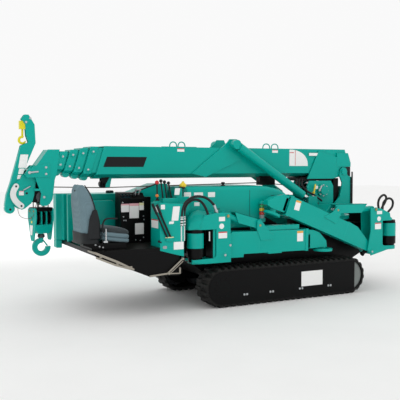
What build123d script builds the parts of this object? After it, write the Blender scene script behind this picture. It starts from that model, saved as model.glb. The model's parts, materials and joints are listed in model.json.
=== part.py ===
from build123d import *
from math import atan2, cos, degrees, hypot, pi, radians, sin
import os

# Mini crawler crane with folding outriggers, stowed for travel.
# Lengths are millimetres. X points to the machine's front, Y to its left, Z up.
# Every X below is measured from the middle of the tracks. The whole model is
# moved by CENTRE_X when it is written, so that its origin is on the ground,
# under the middle of the overall box.
CENTRE_X = 640.5

# Tracks
TRACK_HALF_WIDTH = 640.0
SHOE_WIDTH = 250.0
WHEEL_BASE = 1624.0
LUG_TIP_RADIUS = 200.0
BELT_RADIUS = 182.0
BELT_INNER_RADIUS = 160.0
LUG_COUNT = 60
LUG_FOOT = 40.0
LUG_TIP = 26.0
ROLLER_X = (-559.0, -245.0, 127.0, 506.0)
ROLLER_RADIUS = 74.0
TOP_ROLLER_X = (-330.0, 330.0)
TOP_ROLLER_RADIUS = 42.0

# Lower frame
FRAME_HALF_WIDTH = 330.0
FRAME_LOW = 260.0
FRAME_TOP = 600.0
FRAME_REAR = -1010.0
FRAME_FRONT = 1330.0

# Tie-down eyes under the frame's two ends
TIE_EYES = ((1420.0, -250.0), (1420.0, 250.0), (-1060.0, -250.0), (-1060.0, 250.0))
TIE_Z = 505.0
TIE_RADIUS = 18.0

# Slewing gear
SLEW_X = 790.0
RING_RADIUS = 330.0
RING_TOP = 795.0
TABLE_LOW = 800.0
TABLE_TOP = 845.0
TABLE_RADIUS = 395.0

# Boom
FOOT_X, FOOT_Z = 1075.0, 1345.0
BOOM_MID_Z = 1447.0
BASE_HEIGHT, BASE_WIDTH = 320.0, 270.0
SECTION_STEP = 32.0
BOOM_WALL = 8.0
COLLAR_X = (-1921.0, -2014.0, -2106.0, -2196.0, -2286.0)
COLLAR_SLANT = 100.0
SECTION_FRONT = (880.0, 840.0, 800.0, 760.0)
SHEAVE_X, SHEAVE_Z = -2455.0, 1120.0

# Winch, hook block, hook and searcher arm
DRUM_X, DRUM_Z = 775.0, 1130.0
HOOK_X = SHEAVE_X - 10
HOOK_EYE_Z = 640.0
HOOK_OUTER, HOOK_INNER = 86.0, 40.0
SEARCHER_X, SEARCHER_Z = -2762.0, 1030.0
NOSE_X, NOSE_Z, NOSE_RADIUS = -2608.0, 1158.0, 100.0
ARM_HALF, NOSE_INNER, NOSE_OUTER = 30.0, 38.0, 50.0

# Luffing cylinders
LUG_X, LUG_Z = -435.0, 1640.0
LUFF_PIN_X, LUFF_PIN_Z = 540.0, 1020.0
LUFF_Y = 225.0

# Outriggers: places are (x, z) in the stowed pose, on the plane of the arms
ARM_Y = 530.0
ARM_WIDTH = 120.0
FRONT = {
    "axis_x": 1440.0,
    "lower_pin": (1118.0, 445.0),
    "upper_pin": (1168.0, 922.0),
    "rod_pin": (645.0, 930.0),
    "angle": 156.5,
}
REAR = {
    "axis_x": -1080.0,
    "lower_pin": (-792.0, 529.0),
    "upper_pin": (-760.0, 917.0),
    "rod_pin": (-367.0, 805.0),
    "angle": 4.0,
}


def block(x0, x1, y0, y1, z0, z1):
    """A block between two corners."""
    size = Box(x1 - x0, y1 - y0, z1 - z0)
    return Pos((x0 + x1) / 2, (y0 + y1) / 2, (z0 + z1) / 2) * size


def plate_xz(points, y0, y1, radius=0.0):
    """An outline in X and Z, as thick as from y0 to y1."""
    face = make_face(Plane.XZ.offset(-y1) * Polyline(*points, close=True))
    if radius:
        face = fillet(face.vertices(), radius)
    return extrude(face, amount=y1 - y0, dir=(0, -1, 0))


def plate_xy(points, z0, z1, radius=0.0):
    """An outline in X and Y, as thick as from z0 to z1."""
    face = make_face(Plane.XY.offset(z0) * Polyline(*points, close=True))
    if radius:
        face = fillet(face.vertices(), radius)
    return extrude(face, amount=z1 - z0, dir=(0, 0, 1))


def plate_yz(points, x0, x1):
    """An outline in Y and Z, as thick as from x0 to x1."""
    face = make_face(Plane.YZ.offset(x0) * Polyline(*points, close=True))
    return extrude(face, amount=x1 - x0, dir=(1, 0, 0))


def round_y(x, z, radius, y0, y1):
    """A round bar along Y."""
    return Pos(x, (y0 + y1) / 2, z) * Rot(90, 0, 0) * Cylinder(radius, y1 - y0)


def round_z(x, y, radius, z0, z1):
    """A round bar along Z."""
    return Pos(x, y, (z0 + z1) / 2) * Cylinder(radius, z1 - z0)


def bar(start, end, radius, y):
    """A round bar between two points (x, z) at one y."""
    length = hypot(end[0] - start[0], end[1] - start[1])
    lean = degrees(atan2(end[0] - start[0], end[1] - start[1]))
    mid = ((start[0] + end[0]) / 2, y, (start[1] + end[1]) / 2)
    return Pos(*mid) * Rot(0, lean, 0) * Cylinder(radius, length)


def along(start, angle, distance, side=0.0):
    """The point at a distance along an angle in X and Z, and off to its left."""
    c, s = cos(radians(angle)), sin(radians(angle))
    return (start[0] + distance * c - side * s, start[1] + distance * s + side * c)


def both(shape):
    """A shape and its mirror image on the other side of the machine."""
    return shape + mirror(shape, about=Plane.XZ)


def span(side, inner, outer):
    """The Y range from inner to outer on one side, lowest first."""
    return (inner, outer) if side > 0 else (-outer, -inner)


# Tracks and what runs in them

def loop_point(s, radius):
    """A point at a distance s round the belt, at a radius from its wheels."""
    half = WHEEL_BASE / 2
    turn = pi * BELT_RADIUS
    z = LUG_TIP_RADIUS
    s = s % (2 * WHEEL_BASE + 2 * turn)
    if s < WHEEL_BASE:
        return (-half + s, z + radius)
    s -= WHEEL_BASE
    if s < turn:
        a = s / BELT_RADIUS
        return (half + radius * sin(a), z + radius * cos(a))
    s -= turn
    if s < WHEEL_BASE:
        return (half - s, z - radius)
    a = (s - WHEEL_BASE) / BELT_RADIUS
    return (-half - radius * sin(a), z - radius * cos(a))


def stadium(radius, y0, y1, half=WHEEL_BASE / 2):
    """A long round-ended plate about the belt's two wheels."""
    z = LUG_TIP_RADIUS
    body = block(-half, half, y0, y1, z - radius, z + radius)
    return body + round_y(-half, z, radius, y0, y1) + round_y(half, z, radius, y0, y1)


def track(side):
    """A rubber belt: one loop whose outline carries the lugs."""
    y0, y1 = span(side, TRACK_HALF_WIDTH - SHOE_WIDTH, TRACK_HALF_WIDTH)
    length = 2 * WHEEL_BASE + 2 * pi * BELT_RADIUS
    pitch = length / LUG_COUNT
    outline = []
    for i in range(LUG_COUNT):
        s = (i + 0.5) * pitch
        outline.append(loop_point(s - LUG_FOOT / 2, BELT_RADIUS))
        outline.append(loop_point(s - LUG_TIP / 2, LUG_TIP_RADIUS))
        outline.append(loop_point(s + LUG_TIP / 2, LUG_TIP_RADIUS))
        outline.append(loop_point(s + LUG_FOOT / 2, BELT_RADIUS))
    return plate_xz(outline, y0, y1) - stadium(BELT_INNER_RADIUS, y0 - 1, y1 + 1)


def running_gear(side):
    """Sprocket, idler and rollers, each a wheel of its own inside the belt."""
    half, z = WHEEL_BASE / 2, LUG_TIP_RADIUS
    y0, y1 = span(side, 465.0, 585.0)
    rim = BELT_INNER_RADIUS - 3
    gear = round_y(half, z, rim, y0, y1) - round_y(half, z, 120.0, y0 - 1, y0 + 40)
    tooth = []
    for i in range(36):
        a = i * pi / 18
        r = rim if i % 2 else rim - 22
        tooth.append((-half + r * cos(a), z + r * sin(a)))
    gear += plate_xz(tooth, y0 + 20, y1 - 20)
    low = LUG_TIP_RADIUS - BELT_INNER_RADIUS + 3
    for x in ROLLER_X:
        gear += round_y(x, low + ROLLER_RADIUS, ROLLER_RADIUS, y0, y1)
    high = LUG_TIP_RADIUS + BELT_INNER_RADIUS - 3
    for x in TOP_ROLLER_X:
        gear += round_y(x, high - TOP_ROLLER_RADIUS, TOP_ROLLER_RADIUS, y0, y1)
    return gear


def track_frame(side):
    """Side plates with the flat outer cover, the motor and the cross arms."""
    half, z = WHEEL_BASE / 2, LUG_TIP_RADIUS
    outer = [(-half - 60, 70), (half - 60, 60), (half + 80, 140), (half + 80, 260)]
    outer += [(half - 60, 340), (-half - 60, 330), (-half - 150, 250), (-half - 150, 150)]
    y0, y1 = span(side, 610.0, 628.0)
    frame = plate_xz(outer, y0, y1, 30.0)
    y0, y1 = span(side, 588.0, 610.0)
    frame += plate_xz(outer, y0, y1, 30.0)
    y0, y1 = span(side, 440.0, 462.0)
    frame += plate_xz(outer, y0, y1, 30.0)
    y0, y1 = span(side, 395.0, 440.0)
    frame += round_y(-half, z, 110.0, y0, y1)
    y0, y1 = span(side, 462.0, 588.0)
    frame += block(-560, 560, y0, y1, 200, 260)
    y0, y1 = span(side, FRAME_HALF_WIDTH, 440.0)
    for x in (-480.0, 480.0):
        frame += block(x - 90, x + 90, y0, y1, 190, 330)
    return frame


# Lower frame, covers and the driver's place

def main_frame():
    """The welded lower frame with the four outrigger posts and slewing ring."""
    w = FRAME_HALF_WIDTH
    side = [(FRAME_REAR, 420), (-820, FRAME_LOW), (900, FRAME_LOW)]
    side += [(FRAME_FRONT, 460), (FRAME_FRONT, FRAME_TOP), (FRAME_REAR, FRAME_TOP)]
    frame = plate_xz(side, -w, w)
    frame += round_z(SLEW_X, 0, RING_RADIUS, FRAME_TOP - 5, RING_TOP)
    for spec in (FRONT, REAR):
        x = spec["axis_x"]
        for s in (-1, 1):
            frame += round_z(x, s * ARM_Y, 82.0, 615, 765)
            y0, y1 = sorted((s * 290, s * ARM_Y))
            frame += block(x - 60, x + 60, y0, y1, 630, 750)
    frame += block(FRAME_FRONT - 200, FRONT["axis_x"] + 60, -300, 300, 560, 750)
    frame += block(REAR["axis_x"] - 60, FRAME_REAR + 160, -300, 300, 560, 750)
    for x, y in TIE_EYES:
        lug = block(x - 45, x + 45, y - 10, y + 10, TIE_Z - 45, TIE_Z + 60)
        frame += lug - round_y(x, TIE_Z, TIE_RADIUS, y - 11, y + 11)
    return frame


def operator_deck():
    """The driver's platform with its skirt that rises to the rear."""
    edge = [(-2130, -600), (-1290, -600), (-1170, -440), (-1170, 440), (-1290, 600), (-2130, 600)]
    floor = plate_xy(edge, 600, 640)
    skirt = [(-1594, 371), (-1400, 371), (-1400, 600), (-2130, 600)]
    side = plate_xz(skirt, -600, -585)
    back = block(-1420, -1400, -600, 0, 371, 600)
    return floor + side + back


def folding_step():
    """Two bars with rungs, folded up against the skirt."""
    rail_a = plate_xz([(-2100, 560), (-1610, 350), (-1600, 372), (-2090, 582)], -620, -606)
    rail_b = plate_xz([(-2070, 620), (-1660, 440), (-1650, 462), (-2060, 642)], -620, -606)
    step = rail_a + rail_b
    for x in (-2000.0, -1830.0, -1680.0):
        z = 560 - (x + 2100) * 0.428
        step += plate_xz([(x, z), (x + 30, z - 12), (x + 30, z + 90), (x, z + 100)], -620, -606)
    return step


def hood():
    """The engine cover, an open-bottomed shell."""
    outer = [(-1095, 770), (-1095, 1203), (-190, 1203), (-30, 1180), (85, 1140)]
    outer += [(180, 1060), (220, 960), (220, 770)]
    inner = [(-1080, 760), (-1080, 1188), (-192, 1188), (-36, 1165), (76, 1127)]
    inner += [(166, 1052), (205, 957), (205, 760)]
    return plate_xz(outer, -370, 370) - plate_xz(inner, -355, 355)


def engine_block():
    return block(-820, -120, -230, 230, 602, 1120)


def control_cabinet():
    """The housing of the control valves beside the driver."""
    side = [(-1530, 640), (-1530, 1061), (-1210, 1061), (-1210, 640)]
    return plate_xz(side, -525, -260)


def valve_box():
    """The taller box inboard of the cabinet, with a sloping top."""
    side = [(-1530, 640), (-1530, 1140), (-1270, 1229), (-1145, 1229), (-1145, 640)]
    return plate_xz(side, -20, 240)


def console():
    """The black box in front of the seat."""
    return block(-1785, -1545, -250, -30, 640, 1165)


def control_levers():
    """Travel and crane levers on the cabinet and the console."""
    levers = bar((-1390, 780), (-1530, 1120), 9.0, -536.0)
    levers += bar((-1370, 780), (-1500, 1120), 9.0, -560.0)
    for x in (-1400.0, -1360.0, -1320.0, -1280.0):
        levers += bar((x, 1061), (x, 1215), 7.0, -300.0)
    return levers


def seat_base():
    return block(-2080, -1820, -500, -290, 640, 700)


def seat_cushion():
    return block(-2060, -1740, -560, -260, 700, 800)


def seat_back():
    side = [(-2130, 700), (-2062, 700), (-2062, 820), (-2100, 1225), (-2185, 1225)]
    return plate_xz(side, -580, -240, 20.0)


def tank_cover():
    """The teal cover at the rear left."""
    return block(-2130, -1500, 250, 600, 640, 1120)


def stack_lamp():
    """The three-colour working lamp on the hood's side."""
    lamp = round_z(-225, -406, 26.0, 880, 1070)
    return lamp + block(-255, -195, -432, -371, 860, 882)


# Outriggers

def side_of(shape, side):
    """A right-hand shape, mirrored where the left-hand one is wanted."""
    return shape if side < 0 else mirror(shape, about=Plane.XZ)


def rotary(spec, side):
    """The bracket that swings about the vertical post and carries the pins."""
    x = spec["axis_x"]
    d = -1 if spec is FRONT else 1
    low, high = spec["lower_pin"], spec["upper_pin"]
    y = -ARM_Y
    near, far = x + d * 130, x + d * 400
    cheek = [(near, 500), (near, 800), (high[0] - d * 60, 960), (high[0] + d * 50, 960)]
    cheek += [(high[0] + d * 55, high[1] - 40), (low[0] + d * 50, low[1] + 60)]
    cheek += [(low[0] + d * 50, low[1] - 40), (low[0] - d * 40, low[1] - 50)]
    shape = plate_xz(cheek, y - 85, y - 67) + plate_xz(cheek, y + 67, y + 85)
    for z0, z1 in ((772.0, 800.0), (580.0, 608.0)):
        tongue = [(x, y - 85), (near + d * 30, y - 85), (near + d * 30, y + 85), (x, y + 85)]
        shape += plate_xy(tongue, z0, z1) + round_z(x, y, 85.0, z0, z1)
    shape += block(*sorted((near, near + d * 25)), y - 70, y + 70, 580, 800)
    for px, pz in (low, high):
        shape += round_y(px, pz, 24.0, y - 92, y - 84) + round_y(px, pz, 24.0, y + 84, y + 92)
    return side_of(shape, side)


def outrigger_arm(spec, side):
    """The hollow box arm with its root cheeks and the rod's bracket."""
    y, w = -ARM_Y, ARM_WIDTH / 2
    pin, angle = spec["lower_pin"], spec["angle"]
    up = 1 if spec is REAR else -1
    reach = 1170.0 if spec is FRONT else 1030.0
    lift = 30.0
    box = [along(pin, angle, 90, up * (lift - 105)), along(pin, angle, reach, up * (lift - 105))]
    box += [along(pin, angle, reach, up * (lift + 105)), along(pin, angle, 150, up * (lift + 105))]
    box += [along(pin, angle, -35, up * 45), along(pin, angle, -35, up * -45)]
    shape = plate_xz(box, y - w, y + w)
    bore = [along(pin, angle, 200, up * (lift - 93)), along(pin, angle, reach + 9, up * (lift - 93))]
    bore += [along(pin, angle, reach + 9, up * (lift + 93)), along(pin, angle, 200, up * (lift + 93))]
    shape -= plate_xz(bore, y - w + 12, y + w - 12)
    rod = spec["rod_pin"]
    foot = atan2(rod[1] - pin[1], rod[0] - pin[0])
    far = hypot(rod[0] - pin[0], rod[1] - pin[1])
    on_arm = far * cos(foot - radians(angle))
    ear = [along(pin, angle, on_arm - 90, up * 60), along(pin, angle, on_arm + 90, up * 60)]
    ear += [along(rod, angle, 35, up * 30), along(rod, angle, -35, up * 30)]
    for y0, y1 in ((y - w, y - w + 12), (y + w - 12, y + w)):
        shape += plate_xz(ear, y0, y1)
    return side_of(shape, side)


def outrigger_inner(spec, side):
    """The inner box with the foot bracket and the float pad."""
    y = -ARM_Y
    pin, angle = spec["lower_pin"], spec["angle"]
    up = 1 if spec is REAR else -1
    reach = 1170.0 if spec is FRONT else 1030.0
    lift = 30.0
    box = [along(pin, angle, 420, up * (lift - 82)), along(pin, angle, reach + 30, up * (lift - 82))]
    box += [along(pin, angle, reach + 30, up * (lift + 82)), along(pin, angle, 420, up * (lift + 82))]
    shape = plate_xz(box, y - 42, y + 42)
    tip = along(pin, angle, reach + 30, up * lift)
    nose = along(pin, angle, reach + 150, up * (lift - 60))
    bracket = [along(tip, angle, -8, up * -85), along(tip, angle, -8, up * 60)]
    bracket += [along(tip, angle, 30, up * 60), along(nose, angle, 0, 0)]
    bracket += [along(nose, angle, -20, up * -30)]
    shape += plate_xz(bracket, y - 42, y + 42)
    pad = along(pin, angle, reach + 120, up * -62)
    shape += Pos(pad[0], y, pad[1]) * Rot(0, -angle, 0) * Cylinder(95.0, 24.0)
    return side_of(shape, side)


def outrigger_barrel(spec, side):
    """The outrigger cylinder's barrel with its guard plate."""
    y = -ARM_Y
    a, b = spec["upper_pin"], spec["rod_pin"]
    angle = degrees(atan2(b[1] - a[1], b[0] - a[0]))
    length = hypot(b[0] - a[0], b[1] - a[1])
    shape = bar(along(a, angle, 35), along(a, angle, length - 90), 38.0, y)
    shape += round_y(a[0], a[1], 36.0, y - 30, y + 30)
    return side_of(shape, side)


def outrigger_rod(spec, side):
    """The rod with its eye."""
    y = -ARM_Y
    a, b = spec["upper_pin"], spec["rod_pin"]
    angle = degrees(atan2(b[1] - a[1], b[0] - a[0]))
    length = hypot(b[0] - a[0], b[1] - a[1])
    shape = bar(along(a, angle, length - 89), along(a, angle, length - 25), 22.0, y)
    shape += round_y(b[0], b[1], 30.0, y - 24, y + 24)
    return side_of(shape, side)


# Upper structure

def slewing_post():
    """Turntable, leaning side plates with the boom's ears, and cylinder lugs."""
    post = round_z(SLEW_X, 0, TABLE_RADIUS, TABLE_LOW, TABLE_TOP)
    side = [(430, 840), (1080, 840), (1190, 900), (1190, 1330), (1150, 1420), (1000, 1420)]
    side += [(985, 1250), (930, 1080), (840, 1000), (430, 1000)]
    for y0, y1 in ((-175.0, -155.0), (155.0, 175.0)):
        post += plate_xz(side, y0, y1)
    post += block(1165, 1190, -156, 156, 900, 1170)
    post += block(860, 1100, -300, 300, 840, 850)
    lug = [(475, 840), (640, 840), (600, 1070), (490, 1070)]
    for y0, y1 in ((LUFF_Y - 52, LUFF_Y - 36), (LUFF_Y + 36, LUFF_Y + 52)):
        post += both(plate_xz(lug, y0, y1))
    return post + both(round_y(FOOT_X, FOOT_Z, 40.0, 174, 186))


def winch_frame():
    """The hoist winch's side plates, in front of the post."""
    plate = [(600, 1002), (930, 1002), (930, 1180), (900, 1240), (600, 1240)]
    return plate_xz(plate, 130, 150) + plate_xz(plate, -150, -130) + block(600, 640, -131, 131, 1002, 1060)


def winch_drum():
    """The rope drum with its flanges."""
    drum = round_y(DRUM_X, DRUM_Z, 62.0, -120, 120)
    for y in (-120, 108):
        drum += round_y(DRUM_X, DRUM_Z, 98.0, y, y + 12)
    return drum


def boom_profile(height, width, x0, x1):
    """A five-sided tube section along X, its point down."""
    top, low = BOOM_MID_Z + height / 2, BOOM_MID_Z - height / 2
    w = width / 2
    points = [(-w, top), (w, top), (w, low + 45), (0, low), (-w, low + 45)]
    return plate_yz(points, x0, x1)


def slanted(height, width, x, thick):
    """A five-sided block between two slanting cuts, centred on x."""
    body = boom_profile(height, width, x - 200, x + 200)
    top, low = BOOM_MID_Z + 200, BOOM_MID_Z - 200
    lean = COLLAR_SLANT * 400 / BASE_HEIGHT / 2
    cut = [(x - thick / 2 + lean, top), (x + thick / 2 + lean, top)]
    cut += [(x + thick / 2 - lean, low), (x - thick / 2 - lean, low)]
    return body & plate_xz(cut, -200, 200)


def section_size(i):
    """Outer height and width of telescoping section i, 0 for the base."""
    return BASE_HEIGHT - i * SECTION_STEP, BASE_WIDTH - i * SECTION_STEP


def section_bore(i, x0, x1):
    height, width = section_size(i)
    return boom_profile(height - 2 * BOOM_WALL, width - 2 * BOOM_WALL, x0, x1)


def boom_base():
    """The base section with its foot, lugs and slanted mouth."""
    height, width = section_size(0)
    low = BOOM_MID_Z - height / 2
    body = boom_profile(height, width, COLLAR_X[0] - 200, 1179)
    end = [(-2300, 1200), (1100, 1200), (1179, 1400), (1179, 1425), (1081, 1700), (-2300, 1700)]
    body = body & plate_xz(end, -200, 200)
    mouth = [(COLLAR_X[0] + 62, 1647), (COLLAR_X[0] - 62, 1247), (-2300, 1247), (-2300, 1647)]
    body -= plate_xz(mouth, -200, 200)
    body -= section_bore(0, -2300, 900)
    cheek = [(560, 1265), (930, 1265), (1040, 1290), (1120, 1330), (1150, 1400)]
    cheek += [(1040, 1500), (720, 1590)]
    for y0, y1 in ((-149.0, -134.0), (134.0, 149.0)):
        body += plate_xz(cheek, y0, y1)
    lug = [(-900, 1330), (-800, 1330), (-395, 1607), (-390, 1680), (-480, 1680)]
    body += both(plate_xz(lug, 134, 150))
    body += both(round_y(LUG_X, LUG_Z, 38.0, 149, 192))
    return body + both(round_y(FOOT_X, FOOT_Z, 62.0, 148, 153.5))


def boom_section(i):
    """Telescoping section i: a tube inside the last one and its collar."""
    height, width = section_size(i)
    tube = boom_profile(height, width, COLLAR_X[i], SECTION_FRONT[i - 1])
    ring = slanted(height + 20, width + 20, COLLAR_X[i], 78.0)
    shape = tube + ring
    if i < 4:
        shape -= section_bore(i, -2600, SECTION_FRONT[i - 1] + 1)
    return shape


def boom_head():
    """The head: side plates down to the sheaves, in front of section 5."""
    side = [(-2300, 1570), (-2430, 1570), (-2560, 1440), (-2610, 1375), (-2610, 1300)]
    side += [(-2560, 1230), (-2530, 1120), (-2500, 1055), (-2455, 1037), (-2405, 1055)]
    side += [(-2378, 1110), (-2370, 1230), (-2330, 1340)]
    head = plate_xz(side, -90, -76) + plate_xz(side, 76, 90)
    head += plate_xz([(-2300, 1565), (-2430, 1565), (-2560, 1436), (-2330, 1345)], -80, 80)
    head += round_y(SHEAVE_X, SHEAVE_Z, 20.0, -80, 80)
    for y in (-45.0, 0.0, 45.0):
        head += round_y(SHEAVE_X, SHEAVE_Z, 62.0, y - 10, y + 10)
    return head + both(head_nose())


def head_nose():
    """One of the two cheeks that hold the searcher arm's pin in front of the head."""
    cheek = round_y(NOSE_X, NOSE_Z, NOSE_RADIUS, -NOSE_OUTER, -NOSE_INNER)
    cheek += round_y(SEARCHER_X, SEARCHER_Z, 44.0, -NOSE_OUTER, -NOSE_INNER)
    tongue = [(NOSE_X - 70, NOSE_Z + 70), (SEARCHER_X - 25, SEARCHER_Z + 36)]
    tongue += [(SEARCHER_X + 25, SEARCHER_Z - 36), (NOSE_X - 20, NOSE_Z - 98)]
    cheek += plate_xz(tongue, -NOSE_OUTER, -NOSE_INNER)
    neck = [(NOSE_X, NOSE_Z + 98), (-2560, 1420), (-2480, 1420), (-2480, 1100), (NOSE_X + 60, NOSE_Z - 80)]
    cheek += plate_xz(neck, -NOSE_OUTER, -NOSE_INNER)
    return cheek + block(-2540, -2470, -91, -NOSE_INNER, 1180, 1200)


def last_section():
    return boom_section(4) + boom_head()


def luff_barrels():
    """The two luffing cylinders' barrels, outside the boom."""
    a, b = (LUG_X, LUG_Z), (LUFF_PIN_X, LUFF_PIN_Z)
    angle = degrees(atan2(b[1] - a[1], b[0] - a[0]))
    length = hypot(b[0] - a[0], b[1] - a[1])
    shape = bar(along(a, angle, 46), along(a, angle, length - 120), 48.0, LUFF_Y)
    shape += round_y(a[0], a[1], 50.0, LUFF_Y - 28, LUFF_Y + 28)
    return shape + mirror(shape, about=Plane.XZ)


def luff_rods():
    """The two luffing cylinders' rods with their eyes."""
    a, b = (LUG_X, LUG_Z), (LUFF_PIN_X, LUFF_PIN_Z)
    angle = degrees(atan2(b[1] - a[1], b[0] - a[0]))
    length = hypot(b[0] - a[0], b[1] - a[1])
    shape = bar(along(a, angle, length - 119), along(a, angle, length - 30), 30.0, LUFF_Y)
    shape += round_y(b[0], b[1], 42.0, LUFF_Y - 24, LUFF_Y + 24)
    return shape + mirror(shape, about=Plane.XZ)


def hook_block():
    """The sheave block that hangs under the head."""
    x = HOOK_X
    side = [(x - 85, 1030), (x + 85, 1030), (x + 85, 930), (x + 40, 780), (x - 40, 780), (x - 85, 930)]
    block_ = plate_xz(side, -70, -58) + plate_xz(side, 58, 70)
    block_ += block(x - 80, x + 80, -58, 58, 960, 1028)
    block_ += round_y(x, 900, 70.0, -50, 50) + round_y(x, 900, 15.0, -60, 60)
    block_ += block(x - 35, x + 35, -60, 60, 770, 830)
    return block_


def load_hook():
    """The hook on its swivel under the block."""
    x, z = HOOK_X, HOOK_EYE_Z
    bowl = round_y(x, z, HOOK_OUTER, -20, 20) - round_y(x, z, HOOK_INNER, -21, 21)
    bowl -= plate_xz([(x, z), (x + 150, z + 10), (x + 150, z + 150), (x + 30, z + 150)], -21, 21)
    latch = plate_xz([(x + 12, z + 62), (x + 24, z + 66), (x + 64, z + 12), (x + 52, z + 8)], -8, 8)
    return bowl + latch + round_z(x, 0, 22.0, z + HOOK_INNER + 10, 765)


def searcher_arm():
    """The small hook arm folded up beside the head."""
    arm = [(-2722, 1010), (-2690, 1200), (-2580, 1469), (-2511, 1649), (-2513, 1804)]
    arm += [(-2560, 1895), (-2600, 1895), (-2625, 1860), (-2663, 1469), (-2776, 1236), (-2804, 1040)]
    shape = plate_xz(arm, -ARM_HALF, ARM_HALF)
    return shape + round_y(SEARCHER_X, SEARCHER_Z, 44.0, -ARM_HALF, ARM_HALF)


def parts():
    """Every node's name and shape."""
    made = {}
    for side, name in ((-1, "right"), (1, "left")):
        made["track_" + name] = track(side)
        made["running_gear_" + name] = running_gear(side)
        made["track_frame_" + name] = track_frame(side)
    made["main_frame"] = main_frame()
    made["operator_deck"] = operator_deck()
    made["folding_step"] = folding_step()
    made["hood"] = hood()
    made["engine_block"] = engine_block()
    made["control_cabinet"] = control_cabinet()
    made["valve_box"] = valve_box()
    made["console"] = console()
    made["control_levers"] = control_levers()
    made["seat_base"] = seat_base()
    made["seat_cushion"] = seat_cushion()
    made["seat_back"] = seat_back()
    made["tank_cover"] = tank_cover()
    made["stack_lamp"] = stack_lamp()
    for spec, place in ((FRONT, "front"), (REAR, "rear")):
        for side, hand in ((-1, "right"), (1, "left")):
            tag = "_" + place + "_" + hand
            made["rotary" + tag] = rotary(spec, side)
            made["arm" + tag] = outrigger_arm(spec, side)
            made["inner" + tag] = outrigger_inner(spec, side)
            made["barrel" + tag] = outrigger_barrel(spec, side)
            made["rod" + tag] = outrigger_rod(spec, side)
    made["slewing_post"] = slewing_post()
    made["winch_frame"] = winch_frame()
    made["winch_drum"] = winch_drum()
    made["boom_base"] = boom_base()
    for i in (1, 2, 3):
        made["boom_section_" + str(i + 1)] = boom_section(i)
    made["boom_section_5"] = last_section()
    made["luff_barrels"] = luff_barrels()
    made["luff_rods"] = luff_rods()
    made["hook_block"] = hook_block()
    made["load_hook"] = load_hook()
    made["searcher_arm"] = searcher_arm()
    return made


nodes = parts()
os.makedirs("parts", exist_ok=True)
low, high = 1e9, -1e9
for name, shape in nodes.items():
    placed = Pos(CENTRE_X, 0, 0) * shape
    export_step(placed, os.path.join("parts", name + ".step"))
    size = placed.bounding_box()
    low, high = min(low, size.min.X), max(high, size.max.X)
print("overall X from", round(low, 1), "to", round(high, 1))
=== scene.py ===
"""The finish of a mini crawler crane with folding outriggers, stowed for travel."""
import json
import math

import bmesh
import bpy
import numpy as np
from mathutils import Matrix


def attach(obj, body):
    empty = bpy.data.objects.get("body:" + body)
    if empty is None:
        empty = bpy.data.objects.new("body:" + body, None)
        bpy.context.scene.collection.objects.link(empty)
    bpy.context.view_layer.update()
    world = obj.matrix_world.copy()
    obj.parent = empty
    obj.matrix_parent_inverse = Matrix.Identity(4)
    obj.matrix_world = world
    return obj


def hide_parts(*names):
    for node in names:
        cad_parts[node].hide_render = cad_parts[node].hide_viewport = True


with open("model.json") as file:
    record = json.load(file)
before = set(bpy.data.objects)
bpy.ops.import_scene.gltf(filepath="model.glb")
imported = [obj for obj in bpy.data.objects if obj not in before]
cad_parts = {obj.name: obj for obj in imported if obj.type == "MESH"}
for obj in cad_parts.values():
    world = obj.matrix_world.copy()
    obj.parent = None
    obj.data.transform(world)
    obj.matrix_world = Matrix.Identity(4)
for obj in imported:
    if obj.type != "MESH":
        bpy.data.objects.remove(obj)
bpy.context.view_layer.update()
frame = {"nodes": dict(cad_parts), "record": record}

# Places below are millimetres from the middle of the tracks: X to the front,
# Y to the machine's left, Z up. The frame's own origin lies CENTRE_X further back.
MM = 0.001
CENTRE_X = 640.5

SLOTS = {row["node"]: row["material_slot"] for row in frame["record"]["subparts"]}


def place(points):
    """Millimetres from the tracks' middle, turned into the frame's metres."""
    return (np.asarray(points, float) + (CENTRE_X, 0.0, 0.0)) * MM


# Camera: solved from the tracks' contact line and the two vanishing points
EYE = (-3961.3, -6161.2, 1412.4)
LENS, SENSOR = 58.16, 36.0
LOOKS_DOWN, LOOKS_LEFT = 3.01, -27.52
FLOOR_HALF = 30.0


def camera():
    """The photograph's view, at its distance and height."""
    data = bpy.data.cameras.new("camera")
    data.sensor_width = SENSOR
    data.lens = LENS
    cam = bpy.data.objects.new("camera", data)
    cam.location = place(EYE)
    cam.rotation_euler = (math.radians(90 - LOOKS_DOWN), 0.0, math.radians(LOOKS_LEFT))
    bpy.context.scene.collection.objects.link(cam)
    bpy.context.scene.camera = cam


def area_light(name, spot, target, size, power):
    """A square soft light at a spot, aimed at a target; both are in metres."""
    data = bpy.data.lights.new(name, "AREA")
    data.size = size
    data.energy = power
    lamp = bpy.data.objects.new(name, data)
    lamp.location = spot
    aim = np.asarray(target, float) - np.asarray(spot, float)
    yaw = math.atan2(aim[0], -aim[1])
    pitch = math.atan2(math.hypot(aim[0], aim[1]), -aim[2])
    lamp.rotation_euler = (pitch, 0.0, yaw)
    bpy.context.scene.collection.objects.link(lamp)


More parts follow.
